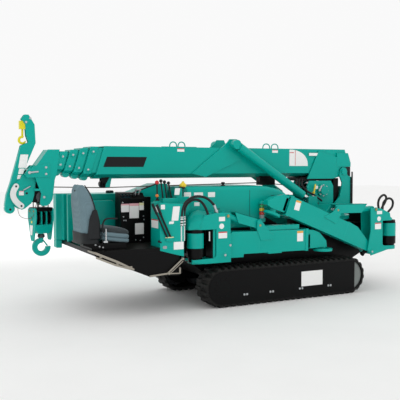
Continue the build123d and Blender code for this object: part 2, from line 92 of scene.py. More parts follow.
def studio():
    """Pale floor, even pale surroundings and three soft lights."""
    world = bpy.data.worlds.new("studio")
    world.use_nodes = True
    world.node_tree.nodes["Background"].inputs["Color"].default_value = (1, 1, 1, 1)
    world.node_tree.nodes["Background"].inputs["Strength"].default_value = 0.95
    bpy.context.scene.world = world
    area_light("key", (-3.5, -6.5, 5.0), (0, 0, 0.8), 3.5, 620)
    area_light("fill", (4.5, -5.5, 2.5), (0.4, 0, 0.8), 4.0, 240)
    area_light("back", (0.0, 5.5, 4.5), (0, 0, 1.0), 4.0, 160)
    corners = [(x * FLOOR_HALF, y * FLOOR_HALF, 0) for x, y in ((-1, -1), (1, -1), (1, 1), (-1, 1))]
    mesh = bpy.data.meshes.new("floor")
    mesh.from_pydata(corners, [], [(0, 1, 2, 3)])
    floor = bpy.data.objects.new("floor", mesh)
    bpy.context.scene.collection.objects.link(floor)
    mesh.materials.append(plain("studio_floor", "FCFCFB", 0.95))


# Materials

def srgb(code):
    """An sRGB hex colour as linear red, green, blue and alpha."""
    parts = [int(code[i:i + 2], 16) / 255 for i in (0, 2, 4)]
    return [c / 12.92 if c <= 0.04045 else ((c + 0.055) / 1.055) ** 2.4 for c in parts] + [1.0]


def add(tree, kind, settings, inputs):
    """Adds one node with its settings; an input is a value or another node's socket."""
    node = tree.nodes.new(kind)
    for key, value in settings.items():
        setattr(node, key, value)
    for key, value in inputs.items():
        if isinstance(value, bpy.types.NodeSocket):
            tree.links.new(value, node.inputs[key])
        else:
            node.inputs[key].default_value = value
    return node


def start(name, **sockets):
    """A new material: its tree, its shader and the object's own coordinates."""
    material = bpy.data.materials.new(name)
    material.use_nodes = True
    tree = material.node_tree
    shader = tree.nodes["Principled BSDF"]
    for key, value in sockets.items():
        shader.inputs[key.replace("_", " ")].default_value = value
    coords = tree.nodes.new("ShaderNodeTexCoord").outputs["Object"]
    return material, tree, shader, coords


def plain(name, code, roughness):
    """A matt surface of one colour, broken up a little by a broad mottle."""
    material, tree, shader, coords = start(name, Roughness=roughness)
    mottle = add(tree, "ShaderNodeTexNoise", {}, {"Vector": coords, "Scale": 1.5, "Detail": 4.0})
    dark = [c * 0.94 for c in srgb(code)[:3]] + [1.0]
    mix = add(tree, "ShaderNodeMix", {"data_type": "RGBA"},
              {"Factor": mottle.outputs["Fac"], 6: dark, 7: srgb(code)})
    tree.links.new(mix.outputs[2], shader.inputs["Base Color"])
    return material


def enamel(name, code, edge, dust, roughness, grain, coat=0.06, shine=0.16):
    """Sprayed machine enamel: orange peel, lighter edges and a film of dust on what faces up.

    The peel is a noise of about grain metres. The lighter edges are a painted highlight in the edge colour;
    its line comes from the angle between the true face and one rounded over four millimetres.
    """
    material, tree, shader, coords = start(name, Roughness=roughness, Coat_Weight=coat,
                                           Coat_Roughness=0.12, IOR=1.45, Specular_IOR_Level=shine)
    broad = add(tree, "ShaderNodeTexNoise", {}, {"Vector": coords, "Scale": 2.2, "Detail": 5.0})
    deep = [c * 0.86 for c in srgb(code)[:3]] + [1.0]
    base = add(tree, "ShaderNodeMix", {"data_type": "RGBA"},
               {"Factor": broad.outputs["Fac"], 6: deep, 7: srgb(code)})
    rounded = add(tree, "ShaderNodeBevel", {"samples": 4}, {"Radius": 0.004})
    geometry = add(tree, "ShaderNodeNewGeometry", {}, {})
    facing = add(tree, "ShaderNodeVectorMath", {"operation": "DOT_PRODUCT"},
                 {0: rounded.outputs["Normal"], 1: geometry.outputs["Normal"]})
    # Painted highlight: edges are mixed towards the lighter edge colour, standing for light caught on them.
    line = add(tree, "ShaderNodeMapRange", {},
               {"Value": facing.outputs["Value"], "From Min": 1.0, "From Max": 0.8, "To Max": 0.55})
    edge_highlighted = add(tree, "ShaderNodeMix", {"data_type": "RGBA"},
                {"Factor": line.outputs["Result"], 6: base.outputs[2], 7: srgb(edge)})
    axes = add(tree, "ShaderNodeSeparateXYZ", {}, {"Vector": geometry.outputs["Normal"]})
    speck = add(tree, "ShaderNodeTexNoise", {}, {"Vector": coords, "Scale": 35.0, "Detail": 8.0})
    upward = add(tree, "ShaderNodeMapRange", {},
                 {"Value": axes.outputs["Z"], "From Min": 0.4, "From Max": 1.0, "To Max": dust})
    film = add(tree, "ShaderNodeMath", {"operation": "MULTIPLY"},
               {0: upward.outputs["Result"], 1: speck.outputs["Fac"]})
    dusty = add(tree, "ShaderNodeMix", {"data_type": "RGBA"},
                {"Factor": film.outputs["Value"], 6: edge_highlighted.outputs[2], 7: srgb("9A958A")})
    tree.links.new(dusty.outputs[2], shader.inputs["Base Color"])
    peel = add(tree, "ShaderNodeTexNoise", {}, {"Vector": coords, "Scale": 1 / grain, "Detail": 2.0})
    bump = add(tree, "ShaderNodeBump", {},
               {"Strength": 0.06, "Distance": 0.002, "Height": peel.outputs["Fac"],
                "Normal": rounded.outputs["Normal"]})
    tree.links.new(bump.outputs["Normal"], shader.inputs["Normal"])
    return material


def rough_surface(name, code, light, roughness, grain, strength, metallic=0.0, dust=0.0, shine=0.5):
    """A grained surface: cast metal, rubber or moulded plastic, its grain a noise of one size."""
    material, tree, shader, coords = start(name, Metallic=metallic, Specular_IOR_Level=shine)
    fine = add(tree, "ShaderNodeTexNoise", {}, {"Vector": coords, "Scale": 1 / grain, "Detail": 6.0})
    mix = add(tree, "ShaderNodeMix", {"data_type": "RGBA"},
              {"Factor": fine.outputs["Fac"], 6: srgb(code), 7: srgb(light)})
    broad = add(tree, "ShaderNodeTexNoise", {}, {"Vector": coords, "Scale": 9.0, "Detail": 5.0})
    film = add(tree, "ShaderNodeMath", {"operation": "MULTIPLY"}, {0: broad.outputs["Fac"], 1: dust})
    dusty = add(tree, "ShaderNodeMix", {"data_type": "RGBA"},
                {"Factor": film.outputs["Value"], 6: mix.outputs[2], 7: srgb("857F74")})
    tree.links.new(dusty.outputs[2], shader.inputs["Base Color"])
    spread = add(tree, "ShaderNodeMapRange", {},
                 {"Value": broad.outputs["Fac"], "To Min": roughness - 0.08, "To Max": roughness + 0.08})
    tree.links.new(spread.outputs["Result"], shader.inputs["Roughness"])
    rounded = add(tree, "ShaderNodeBevel", {"samples": 4}, {"Radius": 0.002})
    bump = add(tree, "ShaderNodeBump", {},
               {"Strength": strength, "Distance": 0.001, "Height": fine.outputs["Fac"],
                "Normal": rounded.outputs["Normal"]})
    tree.links.new(bump.outputs["Normal"], shader.inputs["Normal"])
    return material


def woven(name, code, light, thread):
    """Woven polyester: two crossed bands a thread apart, drawn coarser than real so that they show."""
    material, tree, shader, coords = start(name, Roughness=0.85, Sheen_Weight=0.35, Sheen_Roughness=0.4)
    shader.inputs["Sheen Tint"].default_value = srgb("C8D4DC")
    bands = []
    for axis in ("X", "Y", "Z"):
        wave = add(tree, "ShaderNodeTexWave", {"bands_direction": axis},
                   {"Vector": coords, "Scale": 0.314 / thread, "Distortion": 0.6, "Detail": 1.0})
        bands.append(wave.outputs["Fac"])
    first = add(tree, "ShaderNodeMath", {"operation": "MULTIPLY"}, {0: bands[0], 1: bands[1]})
    cloth = add(tree, "ShaderNodeMath", {"operation": "ADD"}, {0: first.outputs["Value"], 1: bands[2]})
    halved = add(tree, "ShaderNodeMath", {"operation": "MULTIPLY"}, {0: cloth.outputs["Value"], 1: 0.5})
    mottle = add(tree, "ShaderNodeTexNoise", {}, {"Vector": coords, "Scale": 14.0, "Detail": 6.0})
    tone = add(tree, "ShaderNodeMix", {"data_type": "RGBA"},
               {"Factor": mottle.outputs["Fac"], 6: srgb(code), 7: srgb(light)})
    dark = [c * 0.75 for c in srgb(code)[:3]] + [1.0]
    mix = add(tree, "ShaderNodeMix", {"data_type": "RGBA"},
              {"Factor": halved.outputs["Value"], 6: dark, 7: tone.outputs[2]})
    tree.links.new(mix.outputs[2], shader.inputs["Base Color"])
    bump = add(tree, "ShaderNodeBump", {}, {"Strength": 0.35, "Distance": 0.001,
                                            "Height": halved.outputs["Value"]})
    tree.links.new(bump.outputs["Normal"], shader.inputs["Normal"])
    return material


def lens(name, code):
    """Tinted acrylic with moulded rings round it, one every four millimetres."""
    material, tree, shader, coords = start(name, Roughness=0.15, IOR=1.45,
                                           Coat_Weight=0.6)
    rings = add(tree, "ShaderNodeTexWave", {"bands_direction": "Z"}, {"Vector": coords, "Scale": 78.0})
    deep = [c * 0.8 for c in srgb(code)[:3]] + [1.0]
    mix = add(tree, "ShaderNodeMix", {"data_type": "RGBA"},
              {"Factor": rings.outputs["Fac"], 6: deep, 7: srgb(code)})
    tree.links.new(mix.outputs[2], shader.inputs["Base Color"])
    bump = add(tree, "ShaderNodeBump", {}, {"Strength": 0.3, "Distance": 0.001,
                                            "Height": rings.outputs["Fac"]})
    tree.links.new(bump.outputs["Normal"], shader.inputs["Normal"])
    return material


def banded(name, dark, light, pitch):
    """A woven sleeve with light and dark bands round it, one pair in each pitch of metres."""
    material, tree, shader, coords = start(name, Roughness=0.6)
    wave = add(tree, "ShaderNodeTexWave", {"bands_direction": "Z", "wave_profile": "SAW"},
               {"Vector": coords, "Scale": 0.314 / pitch, "Distortion": 1.5, "Detail": 2.0,
                "Detail Scale": 6.0})
    edge = add(tree, "ShaderNodeMapRange", {},
               {"Value": wave.outputs["Fac"], "From Min": 0.42, "From Max": 0.5})
    mix = add(tree, "ShaderNodeMix", {"data_type": "RGBA"},
              {"Factor": edge.outputs["Result"], 6: srgb(dark), 7: srgb(light)})
    tree.links.new(mix.outputs[2], shader.inputs["Base Color"])
    return material


MATERIALS = {
    # Each enamel's second colour is a painted highlight laid along its edges.
    # Two-pack machine enamel, sprayed: a clear gloss with a faint orange peel.
    "green_enamel": enamel("green_machine_enamel", "00AC9E", "3CCFC2", 0.02, 0.30, 0.006),
    # Black chassis enamel, less glossy, with more dust on it.
    "black_enamel": enamel("black_chassis_enamel", "060607", "1E2022", 0.05, 0.40, 0.005,
                           coat=0.02, shine=0.14),
    # Yellow hook enamel, as sprayed on lifting hooks.
    "yellow_enamel": enamel("yellow_hook_enamel", "E6DC1E", "F4F0A0", 0.10, 0.35, 0.005, shine=0.4),
    # Vulcanised track rubber: dull, slightly grey with dust.
    "track_rubber": rough_surface("vulcanised_track_rubber", "0A0B0B", "191A1B", 0.66, 0.006, 0.5,
                                  dust=0.05, shine=0.2),
    # Hose rubber: smooth black cover with a soft shine.
    "hose_rubber": rough_surface("hose_cover_rubber", "0B0C0D", "1C1D1F", 0.42, 0.003, 0.2,
                                 dust=0.03, shine=0.3),
    # Injection-moulded black plastic of knobs, grips and housings.
    "black_plastic": rough_surface("moulded_black_plastic", "101113", "1D1F22", 0.45, 0.002, 0.25, shine=0.25),
    # Seat shell and bolsters: grained vinyl.
    "black_vinyl": rough_surface("grained_black_vinyl", "121415", "232629", 0.55, 0.004, 0.5, shine=0.25),
    # Cast and forged steel, grey and slightly oily.
    "grey_steel": rough_surface("oiled_cast_steel", "3A3D40", "5A5E62", 0.5, 0.004, 0.35, metallic=0.7),
    # Idlers rubbed bare by the belt, with dry dust on them.
    "worn_steel": rough_surface("dusty_worn_steel", "6C7472", "8E9694", 0.55, 0.006, 0.3,
                                metallic=0.2, dust=0.2),
    # Folding step's bars, bare alloy dulled by boots and dust.
    "dusty_alloy": rough_surface("dusty_bare_alloy", "8A8479", "B8B1A4", 0.5, 0.004, 0.2,
                                 metallic=0.4, dust=0.1),
    # Zinc-plated fasteners and bars.
    "zinc": rough_surface("zinc_plated_steel", "A9ADB0", "D5D8DA", 0.38, 0.003, 0.15, metallic=1.0),
    # Hard-chromed cylinder rod, ground and polished.
    "chrome": rough_surface("ground_chromed_rod", "C9CCCF", "F0F1F2", 0.14, 0.002, 0.03, metallic=1.0),
    # Printed vinyl film, left blank.
    "white_vinyl": rough_surface("blank_white_vinyl", "ECECEA", "F7F7F6", 0.35, 0.01, 0.02),
    "black_vinyl_film": rough_surface("blank_black_vinyl", "0A0B0C", "16171A", 0.3, 0.01, 0.02, shine=0.2),
    "seat_cloth": woven("woven_seat_polyester", "68828B", "839EA8", 0.003),
    # The cushion's top takes a darker copy of the seat cloth than its side bands.
    "dark_seat_cloth": woven("woven_dark_seat_polyester", "2C3437", "3F494D", 0.003),
    "red_plastic": rough_surface("moulded_red_plastic", "C41A22", "DA2A2E", 0.3, 0.004, 0.05),
    "orange_plastic": rough_surface("moulded_orange_plastic", "E8761E", "F08A30", 0.35, 0.004, 0.05),
    "yellow_plastic": rough_surface("moulded_yellow_plastic", "E8C81C", "F2D83C", 0.35, 0.004, 0.05),
    "cream_film": rough_surface("cream_vinyl_film", "E3DFA8", "EFECC0", 0.4, 0.01, 0.02),
    "grey_plastic": rough_surface("moulded_grey_plastic", "8E9295", "A9ADAF", 0.4, 0.004, 0.05),
    "screen": rough_surface("dark_display_window", "0C1116", "1A2530", 0.08, 0.02, 0.02),
    # Galvanised wire rope, slightly greased.
    "wire_rope": rough_surface("greased_wire_rope", "4A4743", "8A847B", 0.45, 0.0015, 0.6, metallic=0.8),
    "brass": rough_surface("yellow_chromated_steel", "9C8450", "C2AC74", 0.4, 0.003, 0.2, metallic=0.9),
    "white_pipe": rough_surface("white_painted_pipe", "D4D8D6", "EEF0EF", 0.35, 0.004, 0.08),
    "banded_sleeve": banded("banded_hose_sleeve", "0E0F10", "E4E6E4", 0.026),
    "pink_vinyl": rough_surface("rose_vinyl_band", "E8A8B0", "F0BCC2", 0.4, 0.01, 0.02),
    "orange_vinyl": rough_surface("orange_vinyl_band", "E8A23A", "F0B455", 0.4, 0.01, 0.02),
    "yellow_vinyl": rough_surface("yellow_vinyl_spot", "E6D640", "F0E260", 0.4, 0.01, 0.02),
    "green_lens": lens("green_acrylic_lens", "1FA05A"),
    "yellow_lens": lens("yellow_acrylic_lens", "F0C020"),
    "red_lens": lens("red_acrylic_lens", "D5301E"),
}
SLOT_MATERIAL = {
    "green_paint": "green_enamel",
    "black_paint": "black_enamel",
    "track_rubber": "track_rubber",
    "bare_steel": "chrome",
    "grey_steel": "grey_steel",
    "seat_fabric": "seat_cloth",
    "yellow_paint": "yellow_enamel",
    "lamp_plastic": "grey_plastic",
    "black_plastic": "black_plastic",
}


# Surfaces from grids of points

# The side that faces the camera
NEAR = (0.0, -1.0, 0.0)

def quads(rows, cols, wrap):
    """The four corners of each cell of a grid; wrap joins its last column to its first."""
    r = np.arange(rows - 1)[:, None]
    c = np.arange(cols if wrap else cols - 1)[None, :]
    following = (c + 1) % cols
    cells = np.stack([r * cols + c, r * cols + following, (r + 1) * cols + following, (r + 1) * cols + c], -1)
    return cells.reshape(-1, 4)


def skin(rings, closed=False):
    """A skin through rings of equal length, M by N by 3: capped flat at both ends, or closed on itself."""
    rings = np.asarray(rings, float)
    if closed:
        rings = np.concatenate([rings, rings[:1]])
        rows, cols = rings.shape[:2]
        faces = quads(rows, cols, True) % ((rows - 1) * cols)
        return rings[:-1].reshape(-1, 3), faces.tolist()
    rows, cols = rings.shape[:2]
    faces = quads(rows, cols, True).tolist()
    last = (rows - 1) * cols
    faces += [list(range(cols))[::-1], list(range(last, last + cols))]
    return rings.reshape(-1, 3), faces


def frame_of(normal):
    """Three unit vectors: two across a direction and the direction itself."""
    n = np.asarray(normal, float)
    n = n / np.linalg.norm(n)
    side = np.array([0.0, 0.0, 1.0]) if abs(n[2]) < 0.9 else np.array([1.0, 0.0, 0.0])
    a = np.cross(side, n)
    a = a / np.linalg.norm(a)
    return a, np.cross(n, a), n


def turned(profile, centre, axis, sides=24):
    """A profile of (radius, height) points turned about an axis through a centre."""
    a, b, n = frame_of(axis)
    t = np.linspace(0, 2 * np.pi, sides, endpoint=False)
    ring = np.cos(t)[:, None] * a + np.sin(t)[:, None] * b
    r, h = np.asarray(profile, float).T
    points = np.asarray(centre, float) + r[:, None, None] * ring + h[:, None, None] * n
    return skin(points)


def rod(start, end, radius, sides=24, chamfer=1.5):
    """A round bar between two points, its rims cut by a small chamfer."""
    start, end = np.asarray(start, float), np.asarray(end, float)
    long = np.linalg.norm(end - start)
    c = min(chamfer, radius / 3, long / 3)
    return turned([(radius - c, 0), (radius, c), (radius, long - c), (radius - c, long)],
                  start, end - start, sides)


def rod_y(x, z, radius, y0, y1, sides=28):
    return rod((x, y0, z), (x, y1, z), radius, sides)


def rod_z(x, y, radius, z0, z1, sides=32):
    return rod((x, y, z0), (x, y, z1), radius, sides)


PLANES = {"xz": (0, 2, 1), "xy": (0, 1, 2), "yz": (1, 2, 0)}


def prism(plane, outline, low, high):
    """An outline in one plane, as thick as from low to high across it."""
    p = np.asarray(outline, float)
    first, second, across = PLANES[plane]
    rings = np.empty((2, len(p), 3))
    rings[:, :, first], rings[:, :, second] = p[:, 0], p[:, 1]
    rings[0, :, across], rings[1, :, across] = low, high
    return skin(rings)


def box(x0, x1, y0, y1, z0, z1):
    """A welded block between two corners."""
    return prism("xy", [(x0, y0), (x1, y0), (x1, y1), (x0, y1)], z0, z1)


def slab(corners, normal, thickness, rounding=0.0):
    """A flat outline given by its corners, as thick as said along its normal.

    Each corner becomes an arc: the point slides from one edge to the next by the
    rounding, along a parabola through the corner's neighbourhood.
    """
    p = np.asarray(corners, float)
    if rounding:
        back = np.roll(p, 1, 0) - p
        ahead = np.roll(p, -1, 0) - p
        back = back / np.linalg.norm(back, axis=1)[:, None] * rounding
        ahead = ahead / np.linalg.norm(ahead, axis=1)[:, None] * rounding
        u = np.linspace(0, 1, 5)[None, :, None]
        p = (p[:, None] + back[:, None] * (1 - u) ** 2 + ahead[:, None] * u ** 2).reshape(-1, 3)
    n = np.asarray(normal, float)
    n = n / np.linalg.norm(n)
    return skin(np.stack([p, p + n * thickness]))


def swept(path, radius, sides=12):
    """A round section carried along a path; each ring is square to the path's local direction."""
    p = np.asarray(path, float)
    d = np.gradient(p, axis=0)
    d = d / np.linalg.norm(d, axis=1)[:, None]
    spread = np.ptp(p, axis=0)
    guide = np.eye(3)[int(np.argmin(spread))]
    a = np.cross(guide, d)
    a = a / np.linalg.norm(a, axis=1)[:, None]
    b = np.cross(d, a)
    t = np.linspace(0, 2 * np.pi, sides, endpoint=False)
    r = np.broadcast_to(radius, len(p))[:, None, None]
    rings = p[:, None] + r * (np.cos(t)[None, :, None] * a[:, None] + np.sin(t)[None, :, None] * b[:, None])
    return skin(rings)


def smooth_path(points, count=40):
    """A cardinal spline through a few points: cubic blends of neighbouring points and slopes."""
    p = np.asarray(points, float)
    slope = np.gradient(p, axis=0)
    u = np.linspace(0, len(p) - 1, count)
    i = np.minimum(u.astype(int), len(p) - 2)
    f = (u - i)[:, None]
    h00, h10 = 2 * f ** 3 - 3 * f ** 2 + 1, f ** 3 - 2 * f ** 2 + f
    h01, h11 = -2 * f ** 3 + 3 * f ** 2, f ** 3 - f ** 2
    return h00 * p[i] + h10 * slope[i] + h01 * p[i + 1] + h11 * slope[i + 1]


def joined(shapes):
    """Many shapes as one list of points and one list of faces."""
    points, faces, offset = [], [], 0
    for verts, polygons in shapes:
        points.append(np.asarray(verts, float))
        faces += [[offset + i for i in polygon] for polygon in polygons]
        offset += len(verts)
    return np.concatenate(points), faces


def mirrored(shape):
    """A shape's image on the other side of the machine, its faces turned back outwards."""
    verts, faces = shape
    return verts * (1.0, -1.0, 1.0), [polygon[::-1] for polygon in faces]


def both(*shapes):
    """Shapes and their images on the other side."""
    return list(shapes) + [mirrored(shape) for shape in shapes]


def piece(name, shapes, body, material, soften=0.0, sharp=35.0, replaces=None):
    """One mesh object made from millimetre shapes, finished and riding on its body.

    Each closed shape's faces are turned outwards. A piece that replaces a node hides that node.
    """
    verts, faces = joined(shapes) if isinstance(shapes, list) else shapes
    mesh = bpy.data.meshes.new(name)
    mesh.from_pydata(place(verts).tolist(), [], [list(map(int, f)) for f in faces])
    work = bmesh.new()
    work.from_mesh(mesh)
    bmesh.ops.recalc_face_normals(work, faces=work.faces)
    work.to_mesh(mesh)
    work.free()
    mesh.polygons.foreach_set("use_smooth", [True] * len(mesh.polygons))
    mesh.set_sharp_from_angle(angle=math.radians(sharp))
    made = bpy.data.objects.new(name, mesh)
    bpy.context.scene.collection.objects.link(made)
    mesh.materials.append(MATERIALS[material])
    if soften:
        bevel = made.modifiers.new("bevel", "BEVEL")
        bevel.width = soften * MM
        bevel.segments = 2
        bevel.limit_method = "ANGLE"
        bevel.angle_limit = math.radians(40)
    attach(made, body)
    if replaces:
        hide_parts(replaces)
    return made


def dressed(node, shapes, body="chassis", soften=1.5):
    """A node's rigid form with what its solid lacks, in its slot's material."""
    return piece(node + "_form", shapes, body, SLOT_MATERIAL[SLOTS[node]], soften=soften, replaces=node)


def bolts(places, normal, size):
    """Hexagon heads with a washer, one at each place, repeated as whole arrays."""
    a, b, n = frame_of(normal)
    profile = [(1.15, 0.0), (1.15, 0.18), (0.85, 0.18), (0.85, 0.62), (0.7, 0.75)]
    washer_verts, faces = turned(profile, (0, 0, 0), (0, 0, 1), 12)
    head = washer_verts.reshape(len(profile), 12, 3)
    hexagon = 1 / np.cos(np.mod(np.linspace(0, 2 * np.pi, 12, endpoint=False), np.pi / 3) - np.pi / 6)
    head[2:, :, :2] *= hexagon[None, :, None] * 0.95
    local = head.reshape(-1, 3) * size
    world = local[:, :1] * a + local[:, 1:2] * b + local[:, 2:] * n
    places = np.asarray(places, float)
    verts = (places[:, None] + world[None]).reshape(-1, 3)
    count = len(local)
    return verts, [[i + k * count for i in f] for k in range(len(places)) for f in faces]


def nodes_finish():
    """Gives each carried-over node the finish of its slot in the record."""
    for name, node in frame["nodes"].items():
        node.data.materials.clear()
        node.data.materials.append(MATERIALS[SLOT_MATERIAL[SLOTS[name]]])


# Undercarriage

HALF_BASE, WHEEL_Z = 812.0, 200.0
PITCH_RADIUS = 182.0
BARS = 60
BELT_EDGE, BELT_WIDTH = -625.0, 243.0


def loop_rings(radius):
    """Points round the two wheels at a radius: along the top, round the front, back below, round the rear."""
    half = 2 * HALF_BASE + np.pi * PITCH_RADIUS
    s = np.linspace(0, 2 * half, 16 * BARS, endpoint=False)
    turn = np.pi * PITCH_RADIUS
    a = (s - 2 * HALF_BASE) / PITCH_RADIUS
    c = (s - 4 * HALF_BASE - turn) / PITCH_RADIUS
    conditions = [s < 2 * HALF_BASE, s < 2 * HALF_BASE + turn, s < 4 * HALF_BASE + turn]
    x = np.select(conditions, [s - HALF_BASE, HALF_BASE + radius * np.sin(a),
                               3 * HALF_BASE + turn - s], -HALF_BASE - radius * np.sin(c))
    z = np.select(conditions, [WHEEL_Z + radius, WHEEL_Z + radius * np.cos(a), WHEEL_Z - radius],
                  WHEEL_Z - radius * np.cos(c))
    return x, z, s, 2 * half


def rubber_track():
    """The right-hand belt: bars across it, those of its two halves half a pitch apart.

    The outer face's distance from the wheels is the belt's own plus a bar's height, a smooth
    step of the place within one of sixty pitches; the bars lean and fade at the belt's edges.
    """
    across = np.array([0, 0.02, 0.06, 0.20, 0.40, 0.47, 0.53, 0.60, 0.80, 0.94, 0.98, 1.0])
    y = BELT_EDGE + across * BELT_WIDTH
    _, _, s, total = loop_rings(0.0)
    pitch = total / BARS
    rings = []
    for share, place_y in zip(across, y):
        shift = (0.0 if share < 0.5 else pitch / 2) + 10 * abs(share - 0.5)
        phase = np.mod(s + shift, pitch) / pitch
        bar_height = np.clip((0.33 - np.abs(phase - 0.5)) / 0.12, 0, 1)
        edge = np.clip((0.5 - abs(share - 0.5)) / 0.06, 0, 1)
        radius = 180.0 + 20.0 * bar_height * (0.35 + 0.65 * edge)
        x, z, _, _ = loop_rings(radius)
        rings.append(np.stack([x, np.full_like(x, place_y), z], -1))
    for share in (1.0, 0.0):
        x, z, _, _ = loop_rings(np.full_like(s, 162.0))
        rings.append(np.stack([x, np.full_like(x, BELT_EDGE + share * BELT_WIDTH), z], -1))
    return skin(rings, closed=True)


def stadium(radius, front, sides=24):
    """A long plate's outline about the belt's wheels, cut off square at the front."""
    t = np.linspace(np.pi / 2, 3 * np.pi / 2, sides)
    rear = np.stack([-HALF_BASE + radius * np.cos(t), WHEEL_Z + radius * np.sin(t)], -1)
    drop = math.sqrt(max(radius ** 2 - (front - HALF_BASE) ** 2, 0))
    nose = [(HALF_BASE, WHEEL_Z - radius), (front, WHEEL_Z - drop), (front, WHEEL_Z + drop),
            (HALF_BASE, WHEEL_Z + radius)]
    return np.concatenate([rear, nose])


def undercarriage():
    """Belts, flat covers, the motor and the cross arms behind them."""
    belt = rubber_track()
    cover = [prism("xz", stadium(168.0, 856.0), -632.0, -625.6),
             prism("xz", stadium(148.0, 850.0), -626.0, -612.0)]
    web = [(-662, 120), (622, 120), (652, 200), (622, 290), (-662, 290)]
    cover += [prism("xz", web, -612.5, -590), prism("xz", web, -450, -428)]
    cover += [rod_y(-812, 200, 110, -450, -395), box(-812, -652, -450, -428, 150, 250)]
    cover += [box(-560, 560, -589, -449, 205, 255)]
    cover += [box(x - 90, x + 90, -429, -330, 190, 330) for x in (-480.0, 480.0)]
    for hand, turn in (("right", lambda s: s), ("left", mirrored)):
        piece("track_%s_belt" % hand, turn(belt), "chassis", "track_rubber", replaces="track_" + hand)
        dressed("track_frame_" + hand, [turn(s) for s in cover])
    seats = []
    for x in (1440.0, -1080.0):
        seats += both(rod_z(x, -530, 84.5, 518, 606), rod_z(x, -530, 70, 470, 520))
    piece("outrigger_seats", seats, "chassis", "black_enamel")
    rear = [(-812 + 92 * math.cos(t), -632.0, 200 + 92 * math.sin(t)) for t in np.linspace(0, 6.283, 11)[:-1]]
    rollers = [(x + dx, -632.0, 117.0) for x in (-559, -245, 127, 506) for dx in (-16, 16)]
    piece("cover_bolts", both(bolts(rear, NEAR, 7.0)), "chassis", "black_enamel")
    piece("roller_bolts", both(bolts(rollers, NEAR, 10.5)), "chassis", "zinc")
    caps = both(turned([(60, 0), (60, 6), (44, 10), (20, 11)], (812, -585, 200), NEAR, 32))
    piece("idler_caps", caps, "chassis", "grey_steel")
    disc = turned([(158, 0), (160, 3), (160, 9), (128, 18), (118, 12), (60, 12)], (812, -594, 200), NEAR, 64)
    piece("idler_discs", both(disc), "chassis", "worn_steel", sharp=50)


# Driver's place and covers

def deck():
    """The platform with its skirt, the folding step on it, and the boxes round the driver."""
    edge = [(-2130, -600), (-1290, -600), (-1170, -440), (-1170, 440), (-1290, 600), (-2130, 600)]
    skirt = [(-1594, 371), (-1290, 363), (-1290, 600), (-2130, 600)]
    corner = [(-1290, -600), (-1182, -456), (-1197, -450), (-1305, -590)]
    shapes = [prism("xy", edge, 600, 640), prism("xz", skirt, -600, -585), prism("xy", corner, 363, 600)]
    shapes += both(box(-1700, -1139, -250, -170, 530, 600))
    dressed("operator_deck", shapes)
    upper = [(-2132, 642), (-1905, 541), (-1755, 462), (-1760, 446), (-1910, 519), (-2132, 618)]
    lower = [(-2124, 598), (-1935, 517), (-1787, 467), (-1787, 452), (-1940, 500), (-2124, 580)]
    step = [prism("xz", rail, -620, -606) for rail in (upper, lower)]
    step += [box(x, x + 24, -616, -600, z, z + 26) for x, z in ((-2090, 582), (-1930, 512), (-1800, 462))]
    step.append(box(-2144, -2131, -616, -430, 622, 640))
    piece("folding_step_form", step, "chassis", "dusty_alloy", soften=2.5, replaces="folding_step")
    links = [rod((-1600, -608, 378), (-1400, -608, 392), 9), rod((-1412, -618, 400), (-1259, -618, 525), 8),
             rod((-1388, -618, 396), (-1256, -618, 500), 5), rod((-1398, -618, 390), (-1292, -618, 386), 6),
             rod((-1290, -618, 382), (-1290, -618, 442), 9), rod_y(-1405, 394, 13, -626, -600),
             rod_y(-1257, 524, 11, -626, -600)]
    piece("step_links", links, "chassis", "dusty_alloy")

    side = [(-1490, 640), (-1490, 1065), (-1240, 1048), (-1240, 640)]
    apron = [(-1490, 612), (-1490, 640), (-1240, 640), (-1240, 542), (-1365, 576)]
    dressed("control_cabinet", [prism("xz", side, -604, -385), prism("xz", apron, -604, -599.5)], soften=6)
    top = [(-1530, 640), (-1530, 1140), (-1270, 1229), (-1145, 1229), (-1145, 640)]
    dressed("valve_box", [prism("xz", top, -20, 240)], soften=4)
    dark = [(-1532, 1132), (-1532, 1142), (-1272, 1231), (-1272, 1221)]
    piece("valve_box_seal", [prism("xz", dark, -21.5, 20)], "chassis", "black_plastic")
    high = [(-100, 640), (-100, 1085), (-45, 1140), (-25, 1142), (-25, 640)]
    far = [(-25, 640), (-25, 1142), (58, 1150), (58, 640)]
    dressed("console", [prism("yz", high, -1695, -1432), prism("yz", far, -1695, -1535)], soften=4)

    plan = [(-2130, 250), (-2130, 300), (-2000, 300), (-2000, 420), (-2130, 420),
            (-2130, 470), (-2188, 490), (-2188, 600), (-1500, 600), (-1500, 250)]
    lower = [(-2130, 475), (-2188, 490), (-2188, 600), (-2130, 600)]
    inner = [(-2060, 640), (-2030, 1062), (-1700, 1062), (-1620, 980), (-1620, 640)]
    dressed("tank_cover", [prism("xy", plan, 640, 1125), prism("xy", lower, 557, 641),
                           prism("xz", inner, 130, 250)], soften=8)


